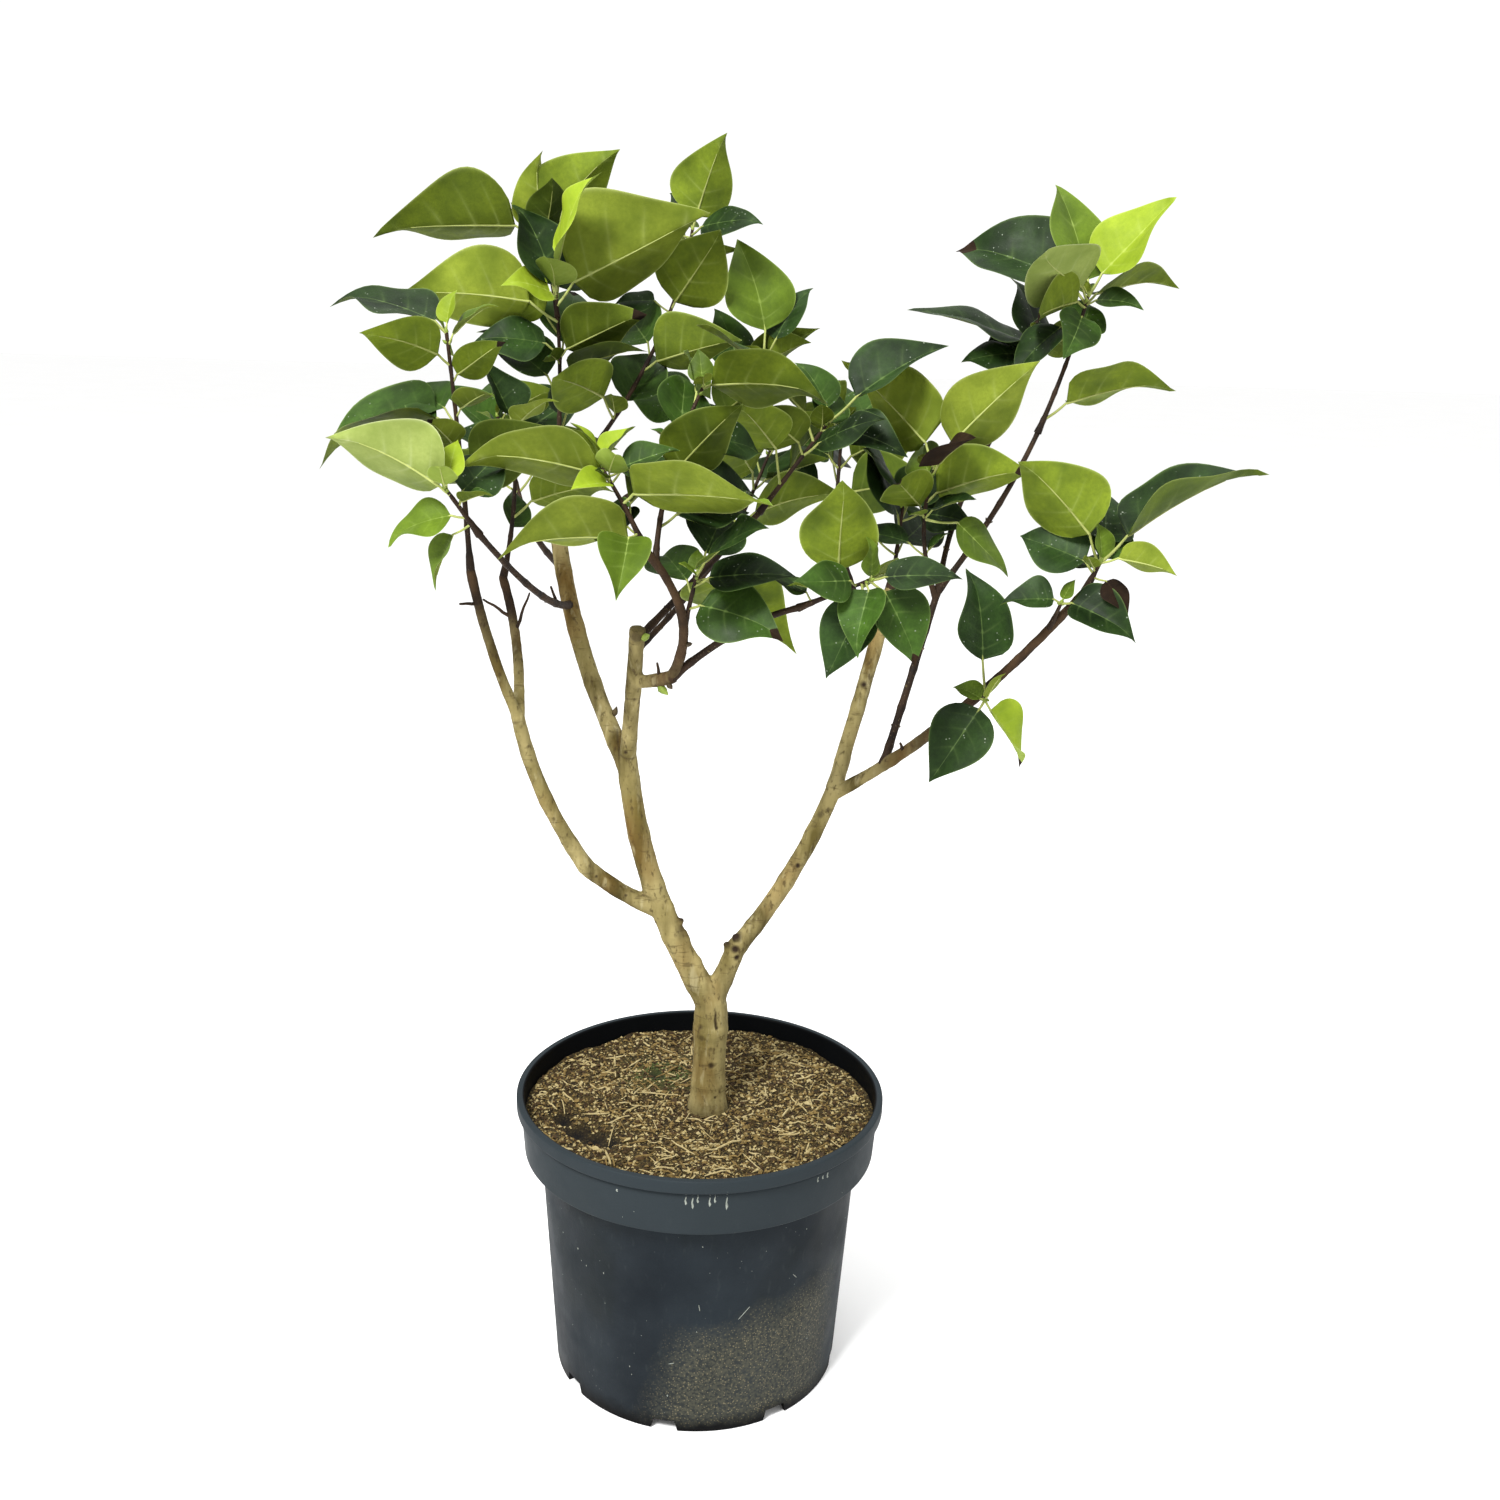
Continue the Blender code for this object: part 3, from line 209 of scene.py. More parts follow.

# Each mass: its limb, where on the limb it starts, the tip and bow of its stem, its pairs of
# leaves with the bearing of the first, the usual length and rise, side twigs as (at, tip), and
# the listed leaves
Mass = namedtuple("Mass", "name limb at tip bow pairs bearing length rise seed twigs leaves")
MASSES = [Mass(*row, [Leaf(*leaf) for leaf in leaves]) for *row, leaves in (
    ("leaves_upper_left", "centre_left_stem", 1.0, (-0.115, 0.055, 0.812), (0.003, 0.004, 0),
         5, 60, 0.062, 30, 11, ((0.86, (-0.128, 0.092, 0.850)),),
         ((0.92, 12, 33, 0.105, 58, 0.020, "young"), (0.99, 300, 64, 0.066, -68, 0.022, "bright"),
          (0.95, 152, 66, 0.068, -30, 0.010, "old"), (0.84, 184, 8, 0.086, 52, 0.024, "young"),
          (0.95, 190, 16, 0.040, -45, 0.008, "bright"), (0.68, 176, 10, 0.052, -35, 0.012, "old"),
          (1.92, 184, 3, 0.098, 46, 0.024, "mid"), (1.9, 20, 55, 0.074, 62, 0.010, "mid"),
          (1.95, 50, 74, 0.052, -40, 0.006, "young"),
          (1.9, 230, 74, 0.046, 10, 0.006, "old"),
          (0.66, 4, 32, 0.062, 50, 0.008, "mid"), (0.55, 356, 26, 0.058, 12, 0.010, "old"),
          (0.97, 300, 38, 0.038, 20, 0.008, "bright"))),
    ("leaves_top", "centre_left_stem", 0.96, (-0.022, 0.120, 0.857), (0.017, 0, 0),
         4, 20, 0.060, 26, 23, (),
         ((1.0, 8, 73, 0.061, 84, 0.010, "mid"), (0.98, 330, 14, 0.048, -35, 0.010, "old"),
          (0.97, 190, -16, 0.052, -35, 0.010, "old"), (0.70, 6, 55, 0.066, 62, 0.006, "mid"),
          (0.69, 180, 4, 0.030, -30, 0.014, "old"), (0.47, 2, 22, 0.064, 52, 0.012, "mid"),
          (1.0, 170, 70, 0.030, -20, 0.006, "old"))),
    ("leaves_far_left", "left_outer_stem", 1.0, (-0.163, -0.100, 0.783), (0.002, -0.006, 0),
         3, 30, 0.050, 20, 5, (),
         ((1.0, 172, 22, 0.066, -10, 0.010, "old"), (0.87, 180, 18, 0.052, 58, 0.010, "mid"),
          (0.80, 10, 66, 0.036, 55, 0.006, "mid"),
          (1.0, 60, 76, 0.022, 0, 0.006, "bright"), (0.95, 350, 46, 0.032, -20, 0.008, "young"),
          (0.62, 172, -8, 0.084, -8, 0.014, "mid"), (0.66, 320, 30, 0.034, 20, 0.008, "young"),
          (0.50, 240, 40, 0.034, 30, 0.008, "young"))),
    ("leaves_left_inner", "left_inner_stem", 1.0, (-0.142, 0.030, 0.716), (0.004, 0, 0),
         2, 60, 0.054, 26, 8, (),
         ((1.0, 150, 66, 0.044, 0, 0.010, "old"), (0.98, 330, 40, 0.038, 10, 0.008, "young"),
          (0.22, 100, 66, 0.036, -40, 0.014, "mid"), (0.80, 185, 20, 0.044, -30, 0.010, "old"))),
    ("leaves_left_front", "crossing_branch", 1.0, (-0.160, -0.130, 0.691), (0, 0, 0),
         1, 110, 0.050, 20, 17, (),
         ((0.88, 186, 31, 0.071, 62, 0.008, "pale"), (0.38, 190, -14, 0.043, -35, 0.010, "young"),
          (0.95, 70, 70, 0.028, 0, 0.006, "bright"), (0.25, 200, -60, 0.036, -10, 0.014, "young"),
          (0.98, 300, 60, 0.024, 0, 0.004, "bright"))),
    ("leaves_centre_front", "arched_front_branch", 1.0, (-0.066, -0.110, 0.704), (0.002, -0.004, 0),
         2, 60, 0.046, 25, 31, (),
         ((0.08, 188, 4, 0.080, 30, 0.010, "young"), (0.58, 5, 9, 0.096, 30, 0.010, "young"),
          (0.86, 178, 14, 0.084, 45, 0.008, "young"), (1.0, 200, 66, 0.030, 0, 0.004, "bright"),
          (1.0, 20, 56, 0.028, 0, 0.006, "bright"), (0.85, 290, 40, 0.030, 20, 0.006, "bright"),
          (0.20, 184, -6, 0.044, -30, 0.012, "old"), (0.22, 262, -36, 0.044, 0, 0.012, "young"),
          (0.90, 10, -8, 0.038, -30, 0.010, "mid"), (0.80, 186, 6, 0.030, -20, 0.004, "bright"))),
    ("leaves_centre_upright", "arched_front_branch", 0.90, (-0.006, -0.060, 0.752), (-0.006, 0, 0),
         3, 110, 0.054, 20, 29, (),
         ((0.45, 352, 50, 0.064, 62, 0.008, "mid"), (0.66, 350, -4, 0.056, -40, 0.016, "old"),
          (1.0, 355, 4, 0.076, 48, 0.006, "mid"), (0.30, 330, 10, 0.062, -40, 0.014, "old"),
          (0.20, 20, 6, 0.060, -40, 0.016, "old"))),
    ("leaves_middle", "middle_slender_branch", 1.0, (0.080, 0.030, 0.727), (0, 0, 0),
         3, 80, 0.052, 22, 37, (),
         ((0.78, 176, 46, 0.094, 24, 0.022, "mid"), (1.0, 4, 38, 0.074, -36, 0.026, "old"),
          (0.30, 230, 42, 0.056, 30, 0.028, "mid"), (0.90, 330, -10, 0.050, -40, 0.014, "old"),
          (1.0, 160, 60, 0.040, -30, 0.010, "mid"))),
    ("leaves_centre_low", "arched_front_branch", 0.40, (-0.006, -0.105, 0.638), (0, 0, 0),
         1, 100, 0.046, 20, 41, (),
         ((1.0, 10, 50, 0.062, -35, 0.014, "old"), (0.8, 350, 12, 0.056, -35, 0.012, "old"),
          (0.9, 350, -14, 0.092, 42, 0.008, "mid"), (0.9, 60, 42, 0.056, -30, 0.020, "old"),
          (0.4, 345, -6, 0.060, -38, 0.010, "mid"))),
    ("leaves_low_middle", "low_slender_branch", 1.0, (0.103, -0.120, 0.640), (0, 0, 0),
         2, 100, 0.050, 0, 43, (),
         ((0.38, 272, 72, 0.068, 0, 0.022, "mid"),
          (1.0, 352, 10, 0.048, -35, 0.010, "old"), (0.9, 205, -62, 0.054, -48, 0.012, "old"),
          (1.0, 330, -58, 0.052, -48, 0.012, "mid"), (0.2, 176, 30, 0.030, -30, 0.008, "mid"),
          (0.95, 262, -60, 0.044, 0, 0.008, "mid"))),
    ("leaves_right_stem", "right_stem", 1.0, (0.138, 0.058, 0.668), (0, 0, 0),
         2, 20, 0.056, 18, 47, (),
         ((0.80, 356, -4, 0.044, -40, 0.014, "old"), (0.72, 120, 68, 0.074, -26, 0.010, "old"),
          (1.0, 165, 20, 0.048, -40, 0.012, "old"))),
    ("leaves_right_inner", "right_inner_branch", 0.93, (0.156, 0.030, 0.696), (-0.008, 0, 0),
         3, 100, 0.050, 26, 53, (),
         ((1.0, 172, 44, 0.082, 74, 0.020, "young"), (1.0, 4, 50, 0.080, 66, 0.022, "young"),
          (0.75, 8, 22, 0.068, 48, 0.010, "mid"), (0.62, 350, -36, 0.054, -34, 0.024, "young"),
          (0.95, 332, 34, 0.048, -50, 0.012, "dead"))),
    ("leaves_right_back", "right_back_branch", 1.0, (0.236, 0.100, 0.775), (0, 0, 0),
         2, 100, 0.052, 30, 59, (),
         ((0.95, 178, 23, 0.090, -14, 0.014, "old"), (1.0, 150, 70, 0.054, -20, 0.010, "old"),
          (0.9, 200, 0, 0.050, -30, 0.010, "old"))),
    ("leaves_upper_right", "upper_right_branch", 1.0, (0.263, 0.070, 0.817), (0.002, 0, 0),
         1, 60, 0.050, 20, 61, (),
         ((0.10, 4, 20, 0.076, 34, 0.020, "mid"), (1.0, 122, 68, 0.078, 0, 0.012, "young"),
          (0.95, 152, 24, 0.096, -32, 0.018, "old"), (0.97, 212, 22, 0.074, 56, 0.012, "pale"),
          (1.0, 345, 54, 0.070, -60, 0.018, "bright"), (0.95, 8, 40, 0.074, 30, 0.012, "mid"),
          (0.92, 205, -8, 0.056, 50, 0.010, "mid"),
          (0.85, 206, -30, 0.046, -35, 0.010, "mid"), (0.94, 330, 0, 0.034, -40, 0.008, "mid"),
          (0.80, 190, -40, 0.048, -30, 0.014, "old"))),
    ("leaves_far_right", "right_outer_bough", 1.0, (0.254, -0.086, 0.650), (0, 0, 0),
         1, 70, 0.048, 16, 67, (),
         ((0.9, 176, 48, 0.068, 66, 0.022, "mid"), (1.0, 2, 39, 0.093, 4, 0.024, "old"),
          (0.9, 80, 44, 0.056, -20, 0.016, "old"), (1.0, 345, -4, 0.038, 50, 0.012, "young"),
          (0.5, 320, -40, 0.026, -30, 0.010, "dead"), (0.6, 150, 20, 0.050, -40, 0.010, "old"))),
    ("leaves_right_low", "right_outer_bough", 0.86, (0.232, -0.080, 0.622), (0, 0, 0),
         0, 0, 0.050, 10, 69, (),
         ((1.0, 178, 2, 0.034, -40, 0.006, "old"), (1.0, 325, -15, 0.048, -40, 0.008, "old"))),
    ("leaves_lower_right", "right_outer_bough", 0.62, (0.190, -0.056, 0.550), (0, 0, 0),
         0, 0, 0.050, 10, 71, (),
         ((0.6, 110, 80, 0.062, 10, 0.030, "old"), (1.0, 206, -50, 0.060, -38, 0.008, "old"),
          (1.0, 330, -48, 0.052, -42, 0.008, "bright"))),
    ("leaves_back_left", "back_left_branch", 1.0, (-0.175, 0.165, 0.715), (0, 0.004, 0),
         5, 30, 0.064, 22, 73, (), ()),
    ("leaves_back_centre", "back_centre_branch", 1.0, (0.033, 0.120, 0.765), (0, 0.010, -0.006),
         5, 70, 0.062, 24, 79, (),
         ((1.0, 150, 72, 0.072, -36, 0.022, "young"), (1.0, 20, 60, 0.050, -10, 0.018, "old"))),
    ("leaves_back_middle", "back_middle_branch", 1.0, (0.040, 0.105, 0.700), (0, 0.006, -0.004),
         5, 30, 0.060, 18, 97, (), ()),
    ("leaves_back_right", "back_right_branch", 1.0, (0.098, 0.185, 0.715), (0, 0.006, 0),
         6, 10, 0.066, 22, 83, (), ()),
)]


# The scene's own growth: small leaves at each tip, the share of places that hold a small leaf
# and of leaves with a dead tip, how deep the trunk goes, and which masses make one piece
TUFT_LEAVES = 2
SMALL_SHARE = 0.20
DEAD_TIP_SHARE = 0.08
BARK_SUNK = 0.003
CROWN_PARTS = (
    ("leaves_upper_left", "leaves_top", "leaves_far_left", "leaves_left_inner",
     "leaves_left_front"),
    ("leaves_centre_front", "leaves_centre_upright", "leaves_middle", "leaves_centre_low",
     "leaves_low_middle"),
    ("leaves_right_stem", "leaves_right_inner", "leaves_right_back", "leaves_upper_right",
     "leaves_far_right", "leaves_right_low", "leaves_lower_right"),
    ("leaves_back_left", "leaves_back_centre", "leaves_back_middle", "leaves_back_right"),
)
# Flecks on the wall: none above the first height, and none between the other two, at the step
FLECK_COUNT = 70
FLECK_TOP = 0.208
FLECK_FREE = (0.175, 0.184)
# Straws stuck to the pot's wall: bearing, height, length and lean
WALL_STRAWS = ((287, 0.098, 0.012, 50), (273, 0.108, 0.005, 100), (251, 0.196, 0.006, -35),
               (262, 0.060, 0.004, 20), (310, 0.120, 0.005, 130))
DRIP_RADIUS = 0.0009
# Dried drips: bearing, top and length
DRIPS = (
    (268, 0.213, 0.009), (270, 0.213, 0.012), (271.5, 0.213, 0.007), (275, 0.213, 0.010),
    (276.5, 0.213, 0.007), (280, 0.213, 0.013), (247, 0.210, 0.003), (310, 0.212, 0.006),
    (312, 0.211, 0.004), (314, 0.212, 0.006),
)

# Studio: name, place, width and power of each lamp
WORLD_LIGHT = 1.06
LAMP_AIM = Vector((0, 0, 0.5))
LAMPS = (
    ("key", (-0.9, -1.7, 2.6), 0.8, 150),
    ("top", (0.2, 0.3, 3.0), 2.2, 34),
    ("fill", (2.0, -1.2, 1.4), 1.8, 6),
)
SHADE = 0.50

# Fine wood: sizes in metres
VOXEL = 0.0010
BARK_SLACK = 5
DAMP_HEIGHT = 0.012
DAMP_STAIN = 0.45
YOUNG_WOOD_RADIUS = 0.0032
LIMB_STEP = 0.004
JOINT_LENGTH = 0.042
JOINT_SWELL = 0.07
COLLAR_SWELL = 0.12
COLLAR_REACH = 0.007
# The fork: how slim the trunk's top is, over what length, and how the two limbs' feet swell
FORK_TAPER = 0.90
FORK_ROUND = 0.010
FORK_SWELL = 0.17
FORK_REACH = 0.030
THICK = ["trunk"] + [limb.name for limb in LIMBS if limb.radii[0] > YOUNG_WOOD_RADIUS]
SHOOT_SIDES = 12
BRANCH_JOINT = 0.030
STEM_FOOT_REACH = 0.010
BUD_LENGTH = 0.0042
BUD_RADIUS = 0.0013

# Fine leaf: rows and columns of one sheet, fractions of the length or of the half width
LEAF_ROWS = 19
LEAF_SIDES = (0.06, 0.28, 0.52, 0.78, 1.0)
VEIN_SWEEP = 1.8
VEIN_EVERY = 4
LEAF_WIDTH = 0.80
WIDEST_AT = 0.40
LEAF_SHEET = 0.0006
LEAF_PLEAT = 0.0042
LEAF_FOLD_SOFT = 0.16
LEAF_WAVES = 1.6
CURL_FROM = 0.68
SIDE_VEIN = 0.76
VEIN_SHARPNESS = 4.0
RIM_SHARPNESS = 50.0
STALK_RINGS = 6
STALK_FOOT = 0.0011
STALK_NECK = 0.00085
STALK_SAG = 0.05

# Each face of a leaf: its tone, its shade, its veins, roughness, how strong the veins are, and
# how many pale specks it has. The under faces' tones are partly the under side's own paler green
# and partly painted light, standing for light that shines through the leaf
LEAF_TONES = (
    ("old_upper", "334d1f", "182a0e", "86a35a", 0.50, 0.60, 0.8),
    ("old_under", "6b7f26", "4e6120", "b0c164", 0.64, 0.85),
    ("mid_upper", "4a6c25", "2c4315", "9cba66", 0.50, 0.65, 0.6),
    ("mid_under", "83962a", "5a6c20", "c4d478", 0.64, 0.90),
    ("young_upper", "779328", "566e1e", "b8d06c", 0.52, 0.7),
    ("young_under", "9fb03c", "76882a", "dae68c", 0.64, 0.9),
    ("bright_upper", "b2ca34", "90aa26", "dceb80", 0.52, 0.6),
    ("bright_under", "bcd360", "9db649", "e4f29c", 0.60, 0.5),
    ("dead", "3c2c1e", "1c1510", "55412c", 0.75, 0.4),
    ("pale_under", "bccd70", "97ab52", "ecf4b8", 0.64, 0.8),
)
# Each look: where its upper and under face stand in that table
LOOKS = {"old": (0, 1), "mid": (2, 3), "young": (4, 5), "bright": (6, 7), "dead": (8, 8),
         "pale": (4, 9)}
LEAF_SHEEN = 0.09
UNDER_SHEEN = 0.05
LEAF_LIGHT = (0.72, 1.24)
NOISE_ROUGHNESS = 0.55

# Compost: holes as (x, y, radius, depth), the mossy patch as (x, y, radius), and its bits' tones
SOIL_HOLES = (
    (-0.091, -0.036, 0.011, 0.008),
    (-0.078, -0.047, 0.011, 0.008),
    (-0.103, -0.020, 0.008, 0.006),
    (-0.064, -0.058, 0.007, 0.005),
    (-0.036, 0.048, 0.007, 0.005),
)
MOSS_PATCH = (-0.032, 0.048, 0.026)
BIT_TONES = (
    ("pale", "d8c794", "ac965a"),
    ("tan", "9c824a", "745f34"),
    ("brown", "5c4522", "2e2010"),
    ("moss", "66713a", "434d24"),
    ("straw", "dccb98", "b8a268"),
)
# How many of the bits that fall into a hole are left out, how fine the bed is, how many bits
HOLE_SKIP = 0.97
BED_RINGS = 95
BED_STEPS = 300
GRAIN_COUNT = 11000
CHIP_COUNT = 1500
STRAW_COUNT = 270


class Heap:
    """Points and faces of many small shapes that are joined into one piece."""

    def __init__(self):
        self.points, self.faces, self.slots, self.count = [], [], [], 0
        self.fields = {}

    def add(self, points, faces, slot=0, **fields):
        """Put in one more shape, with its paints and the numbers that its points hold."""
        points = np.asarray(points, float).reshape(-1, 3)
        self.points.append(points)
        self.faces += [tuple(self.count + corner for corner in face) for face in faces]
        self.slots += slot if isinstance(slot, list) else [slot] * len(faces)
        for name in {**self.fields, **fields}:
            held = self.fields.setdefault(name, [np.zeros(self.count)])
            held.append(np.broadcast_to(np.asarray(fields.get(name, 0.0), float), (len(points),)))
        self.count += len(points)

    def piece(self, name, materials, slot, nodes=()):
        """The heap as one smooth piece of the plant, which stands for these solids."""
        mesh = bpy.data.meshes.new(name)
        mesh.from_pydata(np.concatenate(self.points).tolist(), [], self.faces)
        for material in materials:
            mesh.materials.append(material)
        mesh.polygons.foreach_set("material_index", self.slots)
        for field, held in self.fields.items():
            fill_field(mesh, field, np.concatenate(held))
        mesh.shade_smooth()
        mesh.set_sharp_from_angle(angle=math.radians(62))
        settle(linked(name, mesh), nodes)


def linked(name, data):
    """A new object in the scene."""
    item = bpy.data.objects.new(name, data)
    bpy.context.scene.collection.objects.link(item)
    return item


def heading(degrees):
    """The level direction of a bearing."""
    return Vector((math.cos(math.radians(degrees)), math.sin(math.radians(degrees)), 0.0))


def fill_field(mesh, name, values):
    """Give each of the mesh's points a number, for its paint to read."""
    mesh.attributes.new(name, "FLOAT", "POINT").data.foreach_set("value", values)


def settle(item, nodes=()):
    """Put a finished piece on the plant's body, in place of these solids."""
    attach(item, "root")
    if nodes:
        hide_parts(*nodes)


def apply_all(item):
    """Apply an object's modifiers to its mesh."""
    bpy.context.view_layer.update()
    graph = bpy.context.evaluated_depsgraph_get()
    mesh = bpy.data.meshes.new_from_object(item.evaluated_get(graph))
    item.modifiers.clear()
    item.data = mesh


def unit(vectors):
    """The vectors at length one."""
    return vectors / np.maximum(np.linalg.norm(vectors, axis=-1, keepdims=True), 1e-9)


def sweep(points, radii, sides):
    """A closed tapering tube along points: its points and faces."""
    line = np.array([tuple(point) for point in points])
    ways = unit(np.gradient(line, axis=0))
    first = np.cross(ways[0], (0.31, 0.95, 0.05))
    normal = first / np.linalg.norm(first)
    turns = np.linspace(0, 2 * np.pi, sides, endpoint=False)
    rings = []
    for spot, way, radius in zip(line, ways, radii):
        normal = normal - way * normal.dot(way)
        normal /= np.linalg.norm(normal)
        across = np.cross(way, normal)
        ring = np.outer(np.cos(turns), normal) + np.outer(np.sin(turns), across)
        rings.append(spot + ring * radius)
    faces = []
    for ring in range(len(line) - 1):
        low, high = ring * sides, (ring + 1) * sides
        for side in range(sides):
            after = (side + 1) % sides
            faces.append((low + side, low + after, high + after, high + side))
    last = (len(line) - 1) * sides
    faces.append(tuple(range(sides - 1, -1, -1)))
    faces.append(tuple(last + side for side in range(sides)))
    return np.concatenate(rings), faces


def bent(start, end, bow, fraction):
    """A point on the curve from start to end whose middle is moved by bow."""
    control = (start + end) / 2 + bow * 2
    near = start.lerp(control, fraction)
    return near.lerp(control.lerp(end, fraction), fraction)


def add_cone(body, start, end, radii, sides):
    """Add a closed tapering piece that runs from start to end."""
    span = end - start
    turn = span.to_track_quat("Z", "Y").to_matrix().to_4x4()
    bmesh.ops.create_cone(body, cap_ends=True, segments=sides, radius1=radii[0], radius2=radii[1],
                          depth=span.length, matrix=Matrix.Translation((start + end) / 2) @ turn)


def tree_and_free(body):
    """A tree to test touches with; the shape itself is let go."""
    tree = BVHTree.FromBMesh(body)
    body.free()
    return tree


class Wood:
    """One limb, stem or twig: a bent line with a radius all along it."""

    def __init__(self, start, end, bow, radii, rings, flare=0.0):
        self.start, self.end, self.bow = Vector(start), Vector(end), Vector(bow)
        self.radii, self.rings, self.flare = radii, rings, flare

    def point(self, fraction):
        return bent(self.start, self.end, self.bow, fraction)

    def direction(self, fraction):
        """The way the line runs at a point."""
        step = 0.02
        low, high = max(0.0, fraction - step), min(1.0, fraction + step)
        return (self.point(high) - self.point(low)).normalized()

    def length(self):
        return (self.end - self.start).length

    def radius(self, fraction):
        """The radius there, with the spread foot."""
        spread = self.flare * math.exp(-fraction * self.length() / FLARE_HEIGHT)
        return self.radii[0] + (self.radii[1] - self.radii[0]) * fraction + spread

    def sleeve(self, room):
        """A plain sleeve round the piece, with room all round, to test leaves against."""
        body = bmesh.new()
        for ring in range(self.rings):
            low, high = ring / self.rings, (ring + 1) / self.rings
            radii = (self.radius(low) + room, self.radius(high) + room)
            add_cone(body, self.point(low), self.point(high), radii, SLEEVE_SIDES)
        return tree_and_free(body)

    def fine(self, step, joint=JOINT_LENGTH, swell=JOINT_SWELL, collar=0.0):
        """Points and radii close together along the piece, swollen at its joints and foot."""
        count = max(3, round(self.length() / step))
        points, radii = [], []
        for ring in range(count + 1):
            share = ring / count
            away = share * self.length()
            phase = (away % joint) / joint - 0.5
            bulge = swell * math.exp(-(phase / 0.10) ** 2)
            bulge += collar * math.exp(-(away / COLLAR_REACH) ** 2)
            points.append(self.point(share))
            radii.append(self.radius(share) * (1 + bulge))
        return points, radii

    def on_bark(self, at, turn):
        """A point on the surface: turn 0 faces the viewer, 90 is to the right."""
        way = self.direction(at)
        viewer = Vector((0, -1, 0))
        viewer = (viewer - way * viewer.dot(way)).normalized()
        right = way.cross(viewer)
        out = viewer * math.cos(math.radians(turn)) + right * math.sin(math.radians(turn))
        return self.point(at) + out * self.radius(at), out


def blade(base, along, face, length, grown=0.0):
    """Points and faces of the plain blade that tests whether a leaf has room."""
    across = along.cross(face)
    thick = length * BLADE_THICKNESS / 2 + grown

    def rib(fraction):
        return base + along * length * fraction - face * length * BLADE_DROOP * fraction ** 2

    points = [rib(0.0), rib(1.0 + grown / length)]
    for fraction, half in BLADE_SECTIONS:
        side = half * length * BLADE_WIDTH + grown
        for sign in (1, -1):
            points.append(rib(fraction) + across * side * sign + face * side * BLADE_FOLD)
    for fraction, _ in BLADE_SECTIONS[1:]:
        for sign in (1, -1):
            points.append(rib(fraction) + face * thick * sign)
    faces = []
    last = len(BLADE_SECTIONS) - 1
    for sheet in (0, 1):
        low, high = 8 + sheet, 10 + sheet
        for side in (0, 1):
            rim = [2 + side + 2 * section for section in range(last + 1)]
            patch = [(0, rim[0], low), (rim[0], rim[1], low), (rim[1], rim[2], high, low),
                     (rim[2], 1, high)]
            if sheet == side:
                patch = [tuple(reversed(corners)) for corners in patch]
            faces += patch
    return points, faces


class Placed:
    """One leaf where it grows: its stalk's root, its blade's base and the way it faces."""

    def __init__(self, wood, leaf, turn_by=0.0, rise_by=0.0, shrink=1.0):
        out, rise = heading(leaf.bearing + turn_by), math.radians(leaf.rise + rise_by)
        self.along = out * math.cos(rise) + UP * math.sin(rise)
        upright = UP * math.cos(rise) - out * math.sin(rise)
        sign = -1 if self.along.x > 0 else 1
        self.face = Matrix.Rotation(math.radians(leaf.turn * sign), 3, self.along) @ upright
        self.root = wood.point(leaf.at)
        way = self.along * STALK_OUTWARD + wood.direction(leaf.at) * STALK_ONWARD
        self.base = self.root + way.normalized() * leaf.stalk
        self.length = leaf.length * shrink
        self.leaf = leaf

    def shape(self, grown=0.0):
        """The plain blade that tests whether the leaf has room."""
        return blade(self.base, self.along, self.face, self.length, grown)

    def stalk_tree(self, room):
        """The stalk with room all round, to test touches with."""
        body = bmesh.new()
        add_cone(body, self.root, self.base, [radius + room for radius in STALK_RADII], STALK_SIDES)
        return tree_and_free(body)


def pairs_of(mass):
    """Each pair's share of the way up, its place on the stem and its bearing."""
    for pair in range(mass.pairs):
        share = (pair + 0.5) / mass.pairs
        at = LOWEST_PAIR + (1 - LOWEST_PAIR) * share ** CROWDING
        yield share, at, mass.bearing + 90 * pair


def rule_leaves(mass):
    """Opposite pairs, each turned a right angle from the last, smaller towards the tip."""
    chance = random.Random(mass.seed)
    for share, at, bearing in pairs_of(mass):
        bearing += chance.uniform(-PAIR_SWING, PAIR_SWING)
        size = mass.length * (FOOT_SIZE - TIP_LOSS * share ** 2)
        for side in (0, 180):
            out = bearing + side + chance.uniform(-LEAF_SWING, LEAF_SWING)
            rise = mass.rise + TIP_RISE * share + chance.uniform(-RISE_SWING, RISE_SWING)
            length = size * chance.uniform(1 - SIZE_SWING, 1 + SIZE_SWING)
            turn = chance.choice((FACE_AWAY, FACE_NEAR)) + chance.uniform(-TURN_SWING, TURN_SWING)
            leaf = Leaf(at, out, rise, length, turn, size * chance.uniform(*STALK_SHARES))
            if math.sin(math.radians(leaf.bearing)) > MOST_TO_VIEWER:
                yield leaf


def small_leaves(mass):
    """The finest growth: a tuft of small leaves at the tip and a few beside the pairs."""
    chance = random.Random(mass.seed + 500)
    for turn in range(TUFT_LEAVES):
        yield Leaf(1.0, mass.bearing + 90 * turn + chance.uniform(-20, 20), chance.uniform(48, 72),
                   chance.uniform(0.014, 0.026), chance.uniform(-30, 40), 0.003, "young")
    for _, at, bearing in pairs_of(mass):
        for side in (45, 225):
            if chance.random() < SMALL_SHARE:
                yield Leaf(at, bearing + side, chance.uniform(20, 60),
                           chance.uniform(0.012, 0.024), chance.uniform(-40, 40), 0.005, "mid")


def blocked(name, shape, stalk, guards):
    """Whether a blade touches anything, or its stalk anything but its own mass's wood."""
    for owner, is_wood, tree in guards:
        if shape.overlap(tree):
            return True
        if not (owner == name and is_wood) and stalk.overlap(tree):
            return True
    return False


